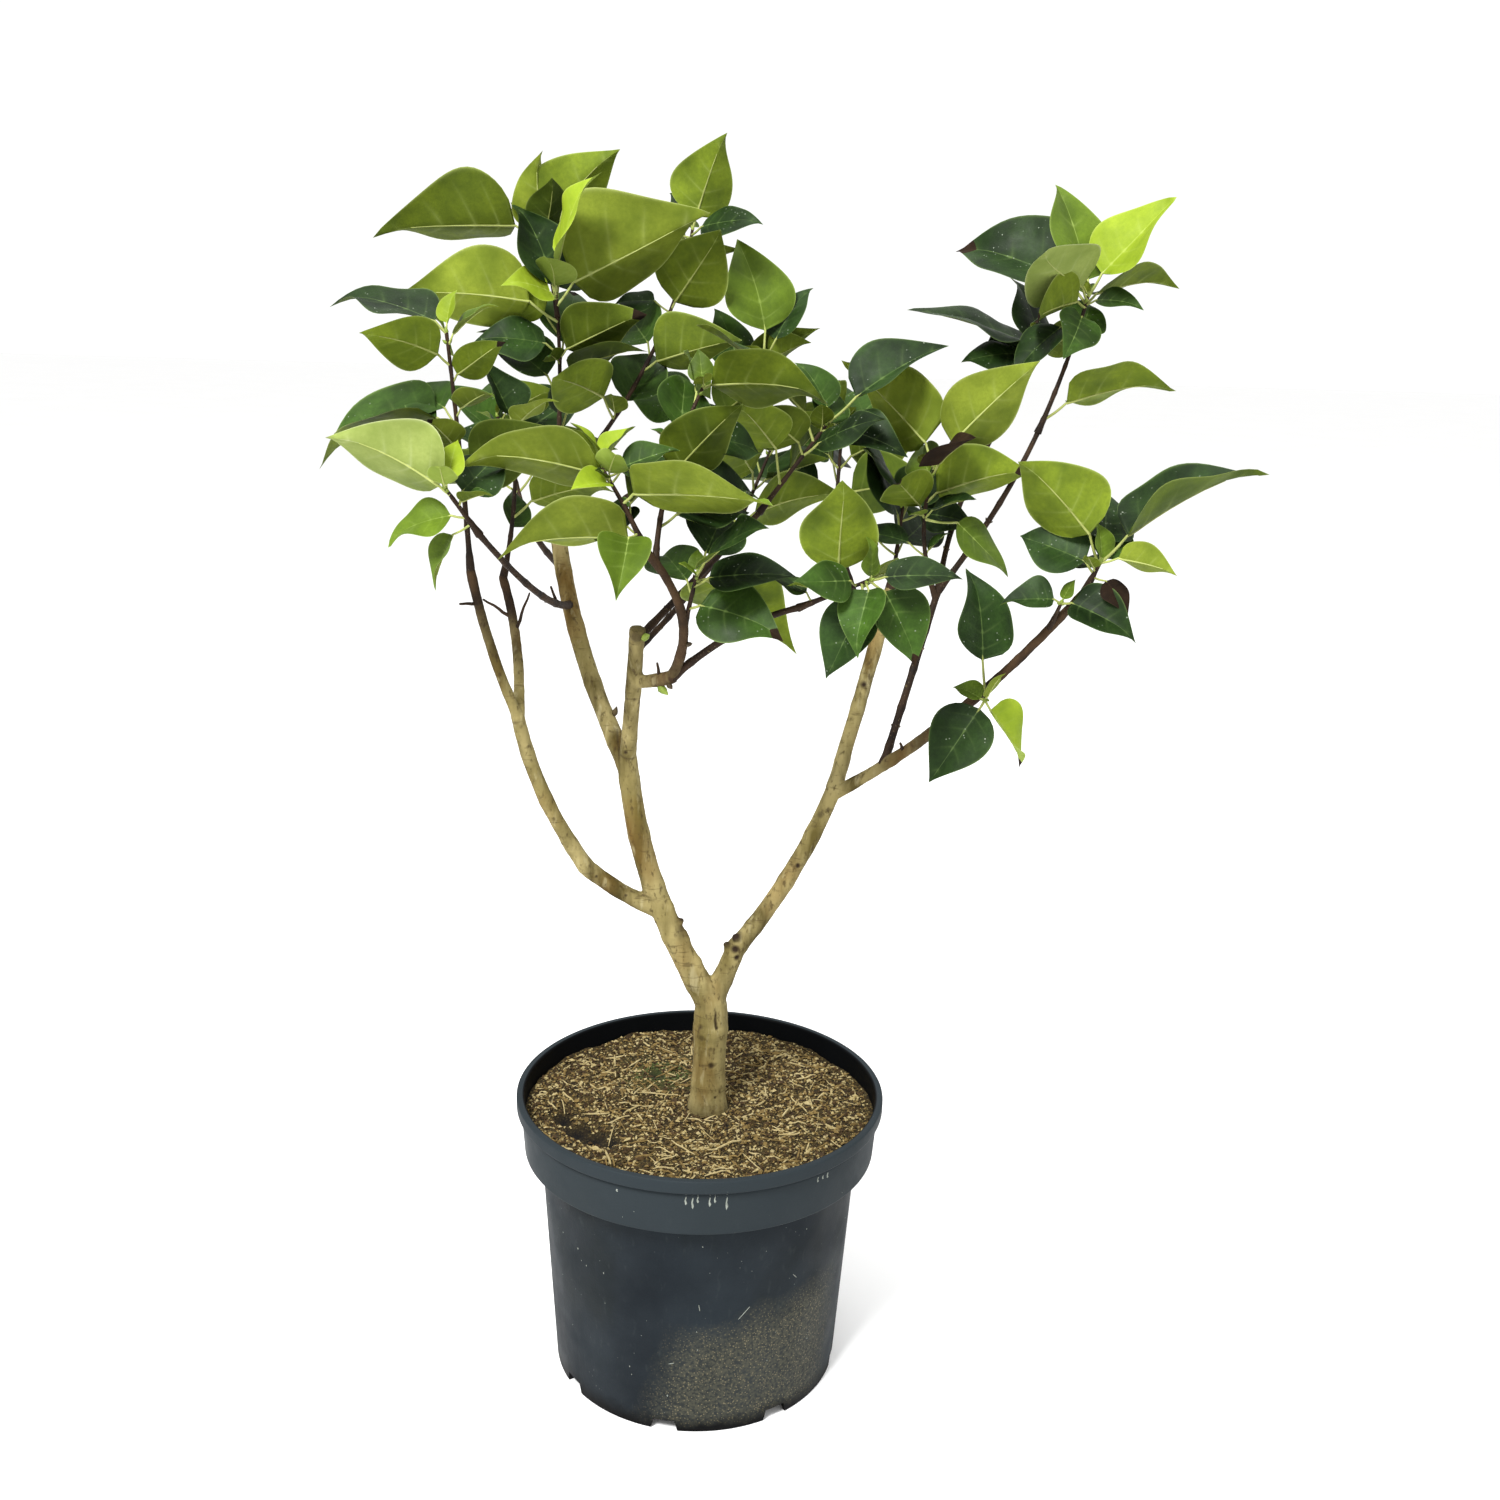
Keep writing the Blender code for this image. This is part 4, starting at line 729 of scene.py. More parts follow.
def grow_leaf(name, stems, leaf, guards):
    """Set one leaf on its stem, turned a little if it would touch something, or leave it out."""
    order = 1 if leaf.at > 1.0 else 0
    leaf = leaf._replace(at=leaf.at - order)
    for size in TRY_SIZES:
        for rise_by in TRY_RISES:
            for turn_by in TRY_BEARINGS:
                spot = Placed(stems[order], leaf, turn_by, rise_by, size)
                shape = BVHTree.FromPolygons(*spot.shape(LEAF_ROOM))
                stalk = spot.stalk_tree(LEAF_ROOM)
                if not blocked(name, shape, stalk, guards):
                    return spot, (name, False, shape), (name, True, stalk)
    return None


def grow_limbs():
    """The trunk and every limb as lines with radii."""
    wood = {"trunk": Wood(TRUNK_FOOT, TRUNK_FORK, (0, 0, 0), TRUNK_RADII, LIMB_RINGS, FLARE_PROUD)}
    for limb in LIMBS:
        parent = wood[limb.parent]
        start = parent.point(limb.at)
        if limb.at == 1.0:
            start -= parent.direction(1.0) * STEM_SUNK
        wood[limb.name] = Wood(start, limb.tip, limb.bow, limb.radii, LIMB_RINGS)
    return wood


def grow_masses(limbs):
    """Every mass's stem and twigs, the listed leaves, the pairs by the rule, small leaves."""
    guards = [(name, True, limb.sleeve(GAP + LEAF_ROOM)) for name, limb in limbs.items()]
    stems = {}
    for mass in MASSES:
        limb = limbs[mass.limb]
        start = limb.point(mass.at) - limb.direction(mass.at) * (STEM_SUNK if mass.at == 1.0 else 0)
        stem = Wood(start, mass.tip, mass.bow, STEM_RADII, STEM_RINGS)
        stems[mass.name] = [stem]
        for at, tip in mass.twigs:
            stems[mass.name].append(Wood(stem.point(at), tip, (0, 0, 0), TWIG_RADII, 2))
        for piece in stems[mass.name]:
            guards.append((mass.name, True, piece.sleeve(LEAF_ROOM)))
    grown = {mass.name: [] for mass in MASSES}
    for source in (lambda mass: mass.leaves, rule_leaves, small_leaves):
        for mass in MASSES:
            for leaf in source(mass):
                found = grow_leaf(mass.name, stems[mass.name], leaf, guards)
                if found:
                    grown[mass.name].append(found[0])
                    guards += found[1:]
    return stems, grown


class Paint:
    """A Principled material, the base colour laid up for it, and short names for its nodes."""

    def __init__(self, name, roughness, specular):
        self.material = bpy.data.materials.new(name)
        self.material.use_nodes = True
        self.tree = self.material.node_tree
        self.shader = self.tree.nodes["Principled BSDF"]
        self.put(self.shader.inputs["Roughness"], roughness)
        self.put(self.shader.inputs["Specular IOR Level"], specular)
        self.place = self.node("TexCoord").outputs["Object"]
        self.base = None

    def node(self, kind, **inputs):
        """A new node with its inputs set or linked by name."""
        node = self.tree.nodes.new("ShaderNode" + kind)
        for name, value in inputs.items():
            self.put(node.inputs[name], value)
        return node

    def put(self, socket, value):
        """Link a socket to an input, or set the input's value."""
        if isinstance(value, bpy.types.NodeSocket):
            self.tree.links.new(value, socket)
        else:
            socket.default_value = value

    def stretched(self, scale):
        """The place on the object, scaled along each axis."""
        if not scale:
            return self.place
        return self.node("Mapping", Vector=self.place, Scale=scale).outputs["Vector"]

    def noise(self, scale, detail=3, stretch=None):
        """Soft noise from nought to one."""
        return self.node("TexNoise", Vector=self.stretched(stretch), Scale=scale, Detail=detail,
                         Roughness=NOISE_ROUGHNESS).outputs["Fac"]

    def cells(self, scale, stretch=None):
        """The distance to the nearest of many random dots."""
        vector = self.stretched(stretch)
        return self.node("TexVoronoi", Vector=vector, Scale=scale).outputs["Distance"]

    def cloud(self, scale, detail, low, high, stretch=None):
        """Noise taken to nought below low and to one above high."""
        return self.span(self.noise(scale, detail, stretch), low, high)

    def field(self, name):
        """A number that the mesh holds at each point."""
        node = self.node("Attribute")
        node.attribute_name = name
        return node.outputs["Fac"]

    def span(self, value, low, high, to_low=0.0, to_high=1.0):
        """A value taken from one range to another, kept inside it."""
        node = self.node("MapRange")
        for socket, number in zip(node.inputs, (value, low, high, to_low, to_high)):
            self.put(socket, number)
        return node.outputs[0]

    def axes(self):
        """The place on the object as three numbers."""
        node = self.node("SeparateXYZ")
        self.put(node.inputs[0], self.place)
        return node.outputs

    def math(self, kind, first, second):
        node = self.node("Math")
        node.operation = kind
        self.put(node.inputs[0], first)
        self.put(node.inputs[1], second)
        return node.outputs[0]

    def times(self, first, second):
        return self.math("MULTIPLY", first, second)

    def plus(self, first, second, share=1.0):
        """The first and a share of the second."""
        return self.math("ADD", first, self.times(second, share) if share != 1.0 else second)

    def mix(self, share, first, second):
        """A blend of two colours, each a socket or linear numbers."""
        node = self.node("Mix")
        node.data_type = "RGBA"
        colours = [socket for socket in node.inputs if socket.type == "RGBA"]
        self.put(node.inputs[0], share)
        for socket, colour in zip(colours, (first, second)):
            self.put(socket, (*colour, 1.0) if isinstance(colour, tuple) else colour)
        return [socket for socket in node.outputs if socket.type == "RGBA"][0]

    def start(self, share, low, high):
        """Begin the base colour as a blend of two tones."""
        self.base = self.mix(share, tone(low), tone(high))

    def tint(self, share, colour, strength=1.0):
        """Lay one more tone over the base."""
        share = share if strength == 1.0 else self.times(share, strength)
        self.base = self.mix(share, self.base, tone(colour))

    def finish(self, height=None, strength=0.0, distance=0.0, roughness=None):
        """Put the base colour, a bump and a roughness on the material."""
        self.put(self.shader.inputs["Base Color"], self.base)
        if height is not None:
            bump = self.node("Bump", Height=height, Strength=strength, Distance=distance)
            self.put(self.shader.inputs["Normal"], bump.outputs["Normal"])
        if roughness is not None:
            self.put(self.shader.inputs["Roughness"], roughness)
        return self.material


def tone(hexed):
    """A colour from its usual six-digit name, darkened for the strong lamps, as linear numbers."""
    parts = [int(hexed[i:i + 2], 16) / 255 for i in (0, 2, 4)]
    return tuple(SHADE * (part / 12.92 if part <= 0.04045 else ((part + 0.055) / 1.055) ** 2.4)
                 for part in parts)


def leaf_paint(name, colour, shade, vein, roughness, vein_strength, specks=0.0):
    """One side of a leaf: mottled, with its veins paler and a leathery grain."""
    paint = Paint(name, roughness, LEAF_SHEEN if roughness < 0.55 else UNDER_SHEEN)
    paint.start(paint.cloud(34, 4, 0.35, 0.65), shade, colour)
    paint.tint(paint.cloud(420, 2, 0.35, 0.7), shade, 0.35)
    light = paint.span(paint.field("tint"), 0.0, 1.0, *LEAF_LIGHT)
    paint.base = paint.node("HueSaturation", Color=paint.base, Value=light).outputs["Color"]
    line = paint.math("POWER", paint.field("vein"), VEIN_SHARPNESS)
    line = paint.times(line, paint.span(paint.noise(70, 2), 0.35, 0.6, 0.45, 1.0))
    paint.tint(line, vein, vein_strength)
    paint.tint(paint.math("POWER", paint.field("rim"), RIM_SHARPNESS), vein, vein_strength)
    if specks:
        dust = paint.span(paint.cells(260), 0.16, 0.08)
        paint.tint(paint.times(dust, paint.cloud(60, 2, 0.50, 0.62)), "b9c4ae", specks)
    rough = paint.span(paint.noise(90), 0.3, 0.7, roughness - 0.07, roughness + 0.10)
    return paint.finish(paint.noise(900), 0.16, 0.0006, rough)


def leaf_paints():
    """Upper and under side of each age of leaf, then dead brown and a pale under side."""
    return [leaf_paint("leaf_" + name, *looks) for name, *looks in LEAF_TONES]


def stalk_paint(name, colour, shade):
    """The stalks and midribs of one age of leaf."""
    paint = Paint(name, 0.55, 0.2)
    paint.start(paint.cloud(120, 3, 0.3, 0.7), shade, colour)
    return paint.finish(paint.noise(700, 2), 0.2, 0.0004)


def shoot_paint():
    """Young shoots: dark brown, with pale dots and long fine ridges."""
    paint = Paint("shoot_bark", 0.7, 0.15)
    paint.start(paint.cloud(70, 4, 0.3, 0.7), "1d130c", "46321f")
    paint.tint(paint.span(paint.cells(520, (1, 1, 0.5)), 0.20, 0.10), "8d7a5c", 0.5)
    return paint.finish(paint.noise(240, 4, (1, 1, 0.35)), 0.5, 0.0009)


def bark_paint():
    """Old bark: pale tan with olive shade, browner on the younger wood, dark in its cracks, partly
    as painted shade.
    """
    paint = Paint("bark", 0.8, 0.15)
    young = paint.mix(paint.cloud(80, 4, 0.3, 0.7, (1, 1, 0.3)), tone("2a1c10"), tone("60482e"))
    paint.start(paint.cloud(46, 5, 0.38, 0.60, (1, 1, 0.22)), "564a1f", "beae75")
    paint.tint(paint.cloud(13, 3, 0.45, 0.68), "84763a", 0.6)
    paint.tint(paint.cloud(24, 4, 0.50, 0.70, (1, 1, 0.6)), "8d6a30", 0.55)
    paint.tint(paint.cloud(150, 4, 0.58, 0.70, (1, 1, 0.2)), "d8cc9c", 0.45)
    paint.tint(paint.cloud(330, 3, 0.56, 0.70, (1, 1, 0.5)), "46351a", 0.7)
    paint.tint(paint.cloud(60, 4, 0.60, 0.70, (1, 1, 7.0)), "46341a", 0.5)
    paint.base = paint.mix(paint.field("youth"), paint.base, young)
    # darker at the foot, the knots and stub ends, and in the cracks, where it is partly painted
    # shade
    paint.tint(paint.field("stain_and_shade"), "2f200f")
    height = paint.plus(paint.noise(140, 5, (1, 1, 0.3)), paint.noise(70, 4, (1, 1, 8.0)), 0.5)
    return paint.finish(height, 0.45, 0.0012)


def pot_paint():
    """Dark blue-grey moulded plastic: a soft sheen, dust low on one side, near black low down; the
    collar painted lighter as painted sheen, its inner wall near black as painted shade.
    """
    paint = Paint("pot_plastic", 0.55, 0.05)
    x, y, z = paint.axes()
    paint.start(paint.cloud(9, 4, 0.35, 0.65), "1c2329", "2d353b")
    paint.tint(paint.cloud(16, 4, 0.52, 0.70, (1, 1, 0.5)), "191f1b", 0.45)
    paint.tint(paint.cloud(190, 4, 0.60, 0.78, (1, 1, 0.35)), "525a58", 0.20)
    # dust on the lower right of the front, whose edge rises to the right
    low = paint.span(paint.plus(paint.plus(z, x, -0.22), paint.noise(26, 4), 0.045), 0.120, 0.090)
    right = paint.span(paint.plus(paint.plus(x, z, -0.30), paint.noise(15), 0.04), -0.032, 0.002)
    patch = paint.times(paint.times(low, right), paint.span(y, -0.04, -0.07))
    dirt = paint.times(patch, paint.span(paint.noise(400, 5), 0.40, 0.60, 0.25, 1.0))
    paint.tint(dirt, "5a594c", 0.85)
    paint.tint(paint.times(patch, paint.span(paint.cells(480), 0.30, 0.14)), "9a8f70", 0.80)
    dots = paint.span(paint.cells(170), 0.07, 0.02)
    paint.tint(paint.times(dots, paint.cloud(40, 2, 0.52, 0.64)), "a9b0a8")
    # the collar and rim painted lighter than the body: a painted sheen
    paint.tint(paint.span(z, STEP_HEIGHT - 0.004, STEP_HEIGHT, 0.0, 0.75), "373f43")
    # near black towards the bottom, its edge broken by noise
    paint.tint(paint.span(paint.plus(z, paint.noise(60, 4), 0.016), 0.024, 0.012), "08090a")
    # the collar's inner wall, painted near black as painted shade inside the pot; it is told from
    # the outer one by its radius
    steep = COLLAR_FLARE / COLLAR_HEIGHT
    away = paint.math("POWER", paint.plus(paint.times(x, x), paint.times(y, y)), 0.5)
    inside = COLLAR_FOOT - WALL - steep * STEP_HEIGHT
    wall = paint.span(paint.plus(away, z, -steep), inside + 0.0015, inside + 0.0007)
    paint.tint(paint.times(wall, paint.span(z, STEP_HEIGHT + 0.001, STEP_HEIGHT + 0.002)), "07090b")
    rough = paint.span(paint.noise(28, 4), 0.3, 0.7, 0.48, 0.66)
    return paint.finish(paint.noise(520, 4), 0.12, 0.0008, rough)


def plain_paint(name, colour, shade, scale=260, roughness=0.9):
    """A loose natural bit: two tones of one colour and a grain."""
    paint = Paint(name, roughness, 0.25)
    paint.start(paint.cloud(scale, 4, 0.3, 0.7), shade, colour)
    return paint.finish(paint.noise(scale * 6), 0.4, 0.0008)


def soil_paint():
    """The compost between its chips: dark, with lighter crumbs and a mossy patch, and painted near
    black in its holes and on its sides at the pot's wall, as painted shade.
    """
    paint = Paint("compost_bed", 0.95, 0.2)
    paint.start(paint.cloud(300, 5, 0.35, 0.65), "140e07", "51421f")
    paint.tint(paint.span(paint.cells(520), 0.45, 0.2), "8f7d4c", 0.6)
    paint.tint(paint.field("moss"), "4a5528")
    # painted shade: near black in the holes and on the sides at the pot's wall
    paint.tint(paint.field("hole"), "080503")
    return paint.finish(paint.noise(700, 4), 0.8, 0.0015)


def leaf_net():
    """How one leaf's points join: an upper and an under sheet that share their rim."""
    columns = 2 * len(LEAF_SIDES) + 1
    tip = 1 + LEAF_ROWS * columns

    def upper(row, column):
        return 1 + row * columns + column

    def under(row, column):
        if column in (0, columns - 1):
            return upper(row, column)
        return tip + 1 + row * (columns - 2) + column - 1

    faces, sides, rows = [], [], []
    for corner, side in ((upper, 0), (under, 1)):
        for column in range(columns - 1):
            patch, at_row = [(0, corner(0, column + 1), corner(0, column))], [0]
            for row in range(LEAF_ROWS - 1):
                near, far = corner(row, column), corner(row, column + 1)
                far_on, near_on = corner(row + 1, column + 1), corner(row + 1, column)
                if column < len(LEAF_SIDES):
                    patch += [(near, far, far_on), (near, far_on, near_on)]
                else:
                    patch += [(near, far, near_on), (far, far_on, near_on)]
                at_row += [row + 1] * 2
            patch.append((corner(LEAF_ROWS - 1, column), corner(LEAF_ROWS - 1, column + 1), tip))
            at_row.append(LEAF_ROWS)
            faces += [face[::-1] for face in patch] if side else patch
            sides += [side] * len(patch)
            rows += at_row
    return faces, sides, rows


class Habit:
    """How one leaf differs from the next: its width, fold, waves, twist and bend."""

    def __init__(self, seed):
        chance = random.Random(seed)
        self.width = chance.uniform(0.90, 1.08)
        self.fold = chance.uniform(0.22, 0.70)
        self.uneven = chance.uniform(-0.45, 0.45)
        self.roll = chance.uniform(0.0, 0.9)
        self.wave = chance.uniform(0.008, 0.036)
        self.phase = (chance.uniform(0, 6.3), chance.uniform(0, 6.3))
        self.twist = math.radians(chance.uniform(-24, 24))
        self.bend = chance.uniform(-0.035, 0.035)
        self.hook = chance.uniform(0.01, 0.14)
        self.side_hook = chance.uniform(-0.05, 0.05)
        self.tint = chance.random()
        self.tip_dead = chance.random() < DEAD_TIP_SHARE
        self.draw = chance.random()


def outline(share):
    """Half the width of a leaf, as a fraction of its greatest, at a share of its length."""
    reach = share / WIDEST_AT
    return (reach * np.exp(1 - reach)) ** 0.62 * (1 - share ** 3.2) ** 1.2 * 1.03


def leaf_sheet(length, habit):
    """A leaf's upper sheet, row by row: how far each point lies along, across and up, how near a
    vein, and then the rows' shares of the length and the columns' shares of the half width."""
    row = np.arange(LEAF_ROWS)[:, None]
    rim = (row + 1.0) / (LEAF_ROWS + 1)
    start = rim ** VEIN_SWEEP
    side = np.array([-part for part in reversed(LEAF_SIDES)] + [0.0] + list(LEAF_SIDES))[None, :]
    wide = np.abs(side)
    half = 0.5 * length * LEAF_WIDTH * habit.width * outline(rim)
    along = length * (start + (rim - start) * wide ** 1.2)
    across = half * side
    away = np.abs(across)
    soft = LEAF_FOLD_SOFT * half
    rise = habit.fold * (np.sqrt(away ** 2 + soft ** 2) - soft) * 1.2
    rise *= 1 + habit.uneven * np.sign(side)
    rise -= habit.roll * away ** 2 / (length * LEAF_WIDTH)
    phase = np.where(side < 0, habit.phase[0], habit.phase[1])
    waves = np.sin(2 * np.pi * LEAF_WAVES * along / length + phase)
    rise += habit.wave * length * waves * wide ** 2
    ripple = np.cos(2 * np.pi * (row - 1) / VEIN_EVERY)
    rise -= LEAF_PLEAT * length * ripple * wide * (1 - wide ** 2) * 2.6 * (1 - rim)
    angle = habit.twist * along / length
    across, rise = (across * np.cos(angle) - rise * np.sin(angle),
                    across * np.sin(angle) + rise * np.cos(angle))
    reach = along / length
    across = across + habit.bend * length * np.sin(np.pi * reach)
    curl = np.maximum(0, (reach - CURL_FROM) / (1 - CURL_FROM)) ** 2
    across = across + habit.side_hook * length * curl
    drop = BLADE_DROOP * reach ** 2 + habit.hook * curl
    rise = rise - length * drop
    vein = (row % VEIN_EVERY == 1) * SIDE_VEIN * (1 - wide) ** 0.3
    vein = np.where(wide == 0, 1.0, vein)
    return along, across, rise, vein, rim, wide


def leaf_points(spot, habit):
    """The points of one leaf's two sheets, how near each lies to a vein and to the rim, and the
    middle line of its under side."""
    length = spot.length
    along, across, rise, vein, rim, wide = leaf_sheet(length, habit)
    frame_axes = np.array([spot.along, spot.along.cross(spot.face), spot.face])
    base = np.array(spot.base)

    def placed(first, second, third):
        return base + np.stack([first, second, third], axis=-1).reshape(-1, 3) @ frame_axes

    upper = placed(along, across, rise)
    sheet = LEAF_SHEET * (1 - wide ** 2) * np.minimum(1, 4 * rim)
    under = placed(along, across, rise - sheet)
    inner = np.arange(LEAF_ROWS * wide.size).reshape(LEAF_ROWS, -1)[:, 1:-1].reshape(-1)
    tip = placed(np.array([length]), np.array([habit.side_hook * length]),
                 np.array([-length * (BLADE_DROOP + habit.hook)]))
    points = np.concatenate([base[None, :], upper, tip, under[inner]])
    veins = np.concatenate([[1.0], vein.reshape(-1), [1.0], vein.reshape(-1)[inner]])
    middle = under.reshape(LEAF_ROWS, -1, 3)[:, len(LEAF_SIDES)]
    rims = np.broadcast_to(wide, vein.shape)
    rims = np.concatenate([[1.0], rims.reshape(-1), [1.0], rims.reshape(-1)[inner]])
    return points, veins, rims, middle


def leaf_age(leaf, habit):
    """Old leaves low on the stem, young ones at its tip, unless the table says otherwise."""
    if leaf.look:
        return leaf.look
    if leaf.at < 0.45:
        return "old" if habit.draw < 0.7 else "mid"
    if leaf.at < 0.85:
        return "old" if habit.draw < 0.25 else "mid"
    return "mid" if habit.draw < 0.8 else "young"


def build_leaves(group, number, grown, paints, stalk_paints):
    """The leaves and the stalks with their midribs for one part of the crown."""
    faces, sides, rows = leaf_net()
    leaves, stalks = Heap(), Heap()
    for name in group:
        for index, spot in enumerate(grown[name]):
            habit = Habit(number * 10007 + index * 31 + len(name))
            age = leaf_age(spot.leaf, habit)
            points, veins, rims, middle = leaf_points(spot, habit)
            slots = [LOOKS[age][side] for side in sides]
            if habit.tip_dead:
                dead = LOOKS["dead"][0]
                slots = [dead if row >= LEAF_ROWS - 1 else slot for row, slot in zip(rows, slots)]
            leaves.add(points, faces, slots, vein=veins, rim=rims, tint=habit.tint)
            add_stalk(stalks, spot, middle, 1 if age in ("young", "bright", "pale") else 0)
    part = "abcd"[number]
    leaves.piece("leaves_" + part, paints, "leaf", group)
    stalks.piece("leaf_stalks_" + part, stalk_paints, "leaf")


def add_stalk(stalks, spot, middle, slot):
    """One stalk, from inside its stem to the blade, and on as the raised midrib."""
    sag = UP * -STALK_SAG * (spot.base - spot.root).length
    shares = [ring / STALK_RINGS for ring in range(STALK_RINGS + 1)]
    line = [spot.root.lerp(spot.base, share) + sag * math.sin(math.pi * share) for share in shares]
    slim = min(1.0, 0.45 + spot.length / 0.12)
    radii = [slim * (STALK_FOOT + (STALK_NECK - STALK_FOOT) * share) for share in shares]
    radii[0] *= 1.35
    face = np.array(spot.face)
    for row in range(0, LEAF_ROWS - 1, 2):
        radius = slim * STALK_NECK * (1 - row / LEAF_ROWS) + 0.00012
        line.append(Vector(middle[row] - face * radius * 0.30))
        radii.append(radius)
    stalks.add(*sweep(line, radii, 6), slot)


def add_bud(heap, root, way, size, slot=0):
    """One pointed bud."""
    shape = ((0.0, 0.5), (0.25, 1.0), (0.55, 0.85), (0.85, 0.35), (1.0, 0.08))
    line = [root + way * (share * BUD_LENGTH * size - 0.0006) for share, _ in shape]
    heap.add(*sweep(line, [BUD_RADIUS * size * wide for _, wide in shape], 7), slot)


def add_bud_pair(heap, wood, at, bearing, size, slot=0):
    """Two buds across from each other, as they sit at a joint."""
    way = wood.direction(at)
    for side in (0, 180):
        out = heading(bearing + side)
        out = (out - way * out.dot(way)).normalized()
        root = wood.point(at) + out * wood.radius(at) * 0.8
        add_bud(heap, root, (out * 0.75 + way * 0.66).normalized(), size, slot)


def build_shoots(limbs, stems):
    """The slender branches, and each mass's stem and twigs, with their joints and buds."""
    shoots, buds = Heap(), Heap()
    chance = random.Random(77)
    slender = [limb.name for limb in LIMBS if limb.radii[0] <= YOUNG_WOOD_RADIUS]
    for name in slender:
        wood = limbs[name]
        shoots.add(*sweep(*wood.fine(0.003, BRANCH_JOINT, 0.16, 0.45), SHOOT_SIDES))
        for joint in range(1, int(wood.length() / BRANCH_JOINT)):
            if chance.random() < 0.7:
                at = joint * BRANCH_JOINT / wood.length()
                add_bud_pair(buds, wood, at, chance.uniform(0, 180), 0.7)
    for mass in MASSES:
        for order, wood in enumerate(stems[mass.name]):
            points, radii = wood.fine(0.0025, 0.020, 0.18, 0.5)
            if order == 0 and mass.at == 1.0:
                foot = limbs[mass.limb].radii[1] * 0.96
                shares = np.linspace(0, 1, len(radii)) * wood.length() / STEM_FOOT_REACH
                radii = [radius + max(0.0, foot - radius) * math.exp(-share ** 2)
                         for radius, share in zip(radii, shares)]
            shoots.add(*sweep(points, radii, SHOOT_SIDES))
            add_bud(buds, wood.point(1.0), wood.direction(1.0), 1.1, 1)
            add_bud_pair(buds, wood, 0.96, mass.bearing, 0.9, 1)
    for twiglet in TWIGLETS:
        shoots.add(*sweep(*stub_line(limbs, twiglet), 8))
    for name, at, turn, size, slot in LONE_BUDS:
        root, out = limbs[name].on_bark(at, turn)
        add_bud(buds, root, (out * 0.7 + limbs[name].direction(at) * 0.7).normalized(), size, slot)
    shoots.piece("shoots", [shoot_paint()], "young_bark", slender)
    bud_paints = [plain_paint("bud", "6a5a34", "3a2c1c", 200, 0.6),
                  plain_paint("fresh_bud", "a3b84a", "7d9434", 200, 0.6)]
    buds.piece("buds", bud_paints, "young_bark")


Mark = namedtuple("Mark", "limb at turn radius depth dark")
MARKS = [Mark(*row) for row in (
    ("right_limb_foot", 0.97, -10, 0.0040, 0.0012, 1.0),
    ("right_limb_foot", 0.86, 20, 0.0028, 0.0010, 1.0),
    ("right_limb", 0.55, 5, 0.0024, 0.0010, 1.0),
    ("right_limb", 0.84, -25, 0.0030, 0.0006, 0.55),
    ("right_limb", 0.88, 15, 0.0024, 0.0005, 0.45),
    ("right_stem", 0.52, -10, 0.0030, 0.0012, 1.0),
    ("left_limb", 0.38, -60, 0.0016, 0.0006, 0.9),
    ("centre_left_stem", 0.03, 55, 0.0030, 0.0008, 0.9),
    ("centre_right_stem", 0.10, -15, 0.0018, 0.0006, 0.9),
    ("centre_right_stem", 0.99, 0, 0.0060, -0.0006, 0.7),
    ("left_bough_foot", 0.45, 10, 0.0014, 0.0004, 0.8),
    ("left_bough_foot", 0.85, 10, 0.0014, 0.0004, 0.8),
    ("left_bough", 0.20, -60, 0.0014, 0.0004, 0.8),
    ("trunk", 0.45, 8, 0.0028, 0.0006, 0.9),
    ("trunk", 0.15, 25, 0.0014, 0.0006, 0.9),
    ("trunk", 0.70, -30, 0.0030, 0.0003, 0.5),
    ("trunk", 0.80, -35, 0.0026, 0.0003, 0.5),
    ("trunk", 0.60, 5, 0.0022, 0.0003, 0.45),
)]
# Dead stubs fused into the bark: place on a limb, length, radii, how far they lean along it,
# and how dark their ends are
Stub = namedtuple("Stub", "limb at turn length radii lean dark")
STUBS = [Stub(*row) for row in (
    ("left_limb", 0.03, 62, 0.030, (0.0052, 0.0050), 0.96, 0.0),
    ("left_limb", 0.14, 72, 0.036, (0.0050, 0.0036), 0.93, 0.6),
    ("left_limb", 0.36, 62, 0.062, (0.0040, 0.0020), 0.99, 0.0),
    ("left_limb", 0.33, 80, 0.007, (0.0030, 0.0020), 0.50, 1.0),
    ("right_limb_foot", 0.86, -62, 0.0090, (0.0036, 0.0024), 0.55, 0.9),
    ("right_limb", 0.04, -50, 0.0060, (0.0034, 0.0030), 0.30, 1.0),
    ("centre_right_stem", 0.97, 0, 0.0060, (0.0058, 0.0056), 1.00, 0.5),
    ("right_stem", 0.47, 0, 0.0080, (0.0058, 0.0054), 1.00, 0.0),
)]
# Dry twiglets on the thin wood, told the same way
TWIGLETS = [Stub(*row) for row in (
    ("left_inner_stem", 0.70, -70, 0.022, (0.0014, 0.0008), 0.50, 0.0),
    ("left_inner_stem", 0.60, 60, 0.026, (0.0014, 0.0007), 0.55, 0.0),
    ("left_outer_stem", 0.78, -50, 0.012, (0.0013, 0.0008), 0.30, 0.0),
    ("crossing_branch", 0.25, 160, 0.012, (0.0012, 0.0008), 0.40, 0.0),
    ("knuckle_branch", 0.70, -80, 0.010, (0.0014, 0.0008), 0.30, 0.0),
    ("right_outer_bough", 0.30, -60, 0.008, (0.0014, 0.0009), 0.40, 0.0),
)]
# Buds by themselves: place on a limb, size, and whether they are still green
LONE_BUDS = (
    ("centre_right_stem", 0.97, 50, 2.2, 1),
    ("knuckle_branch", 0.62, 75, 2.4, 1),
    ("knuckle_branch", 0.88, 50, 1.6, 0),
    ("centre_left_stem", 0.17, 75, 1.8, 0),
    ("arched_front_branch", 0.30, 60, 1.4, 0),
)
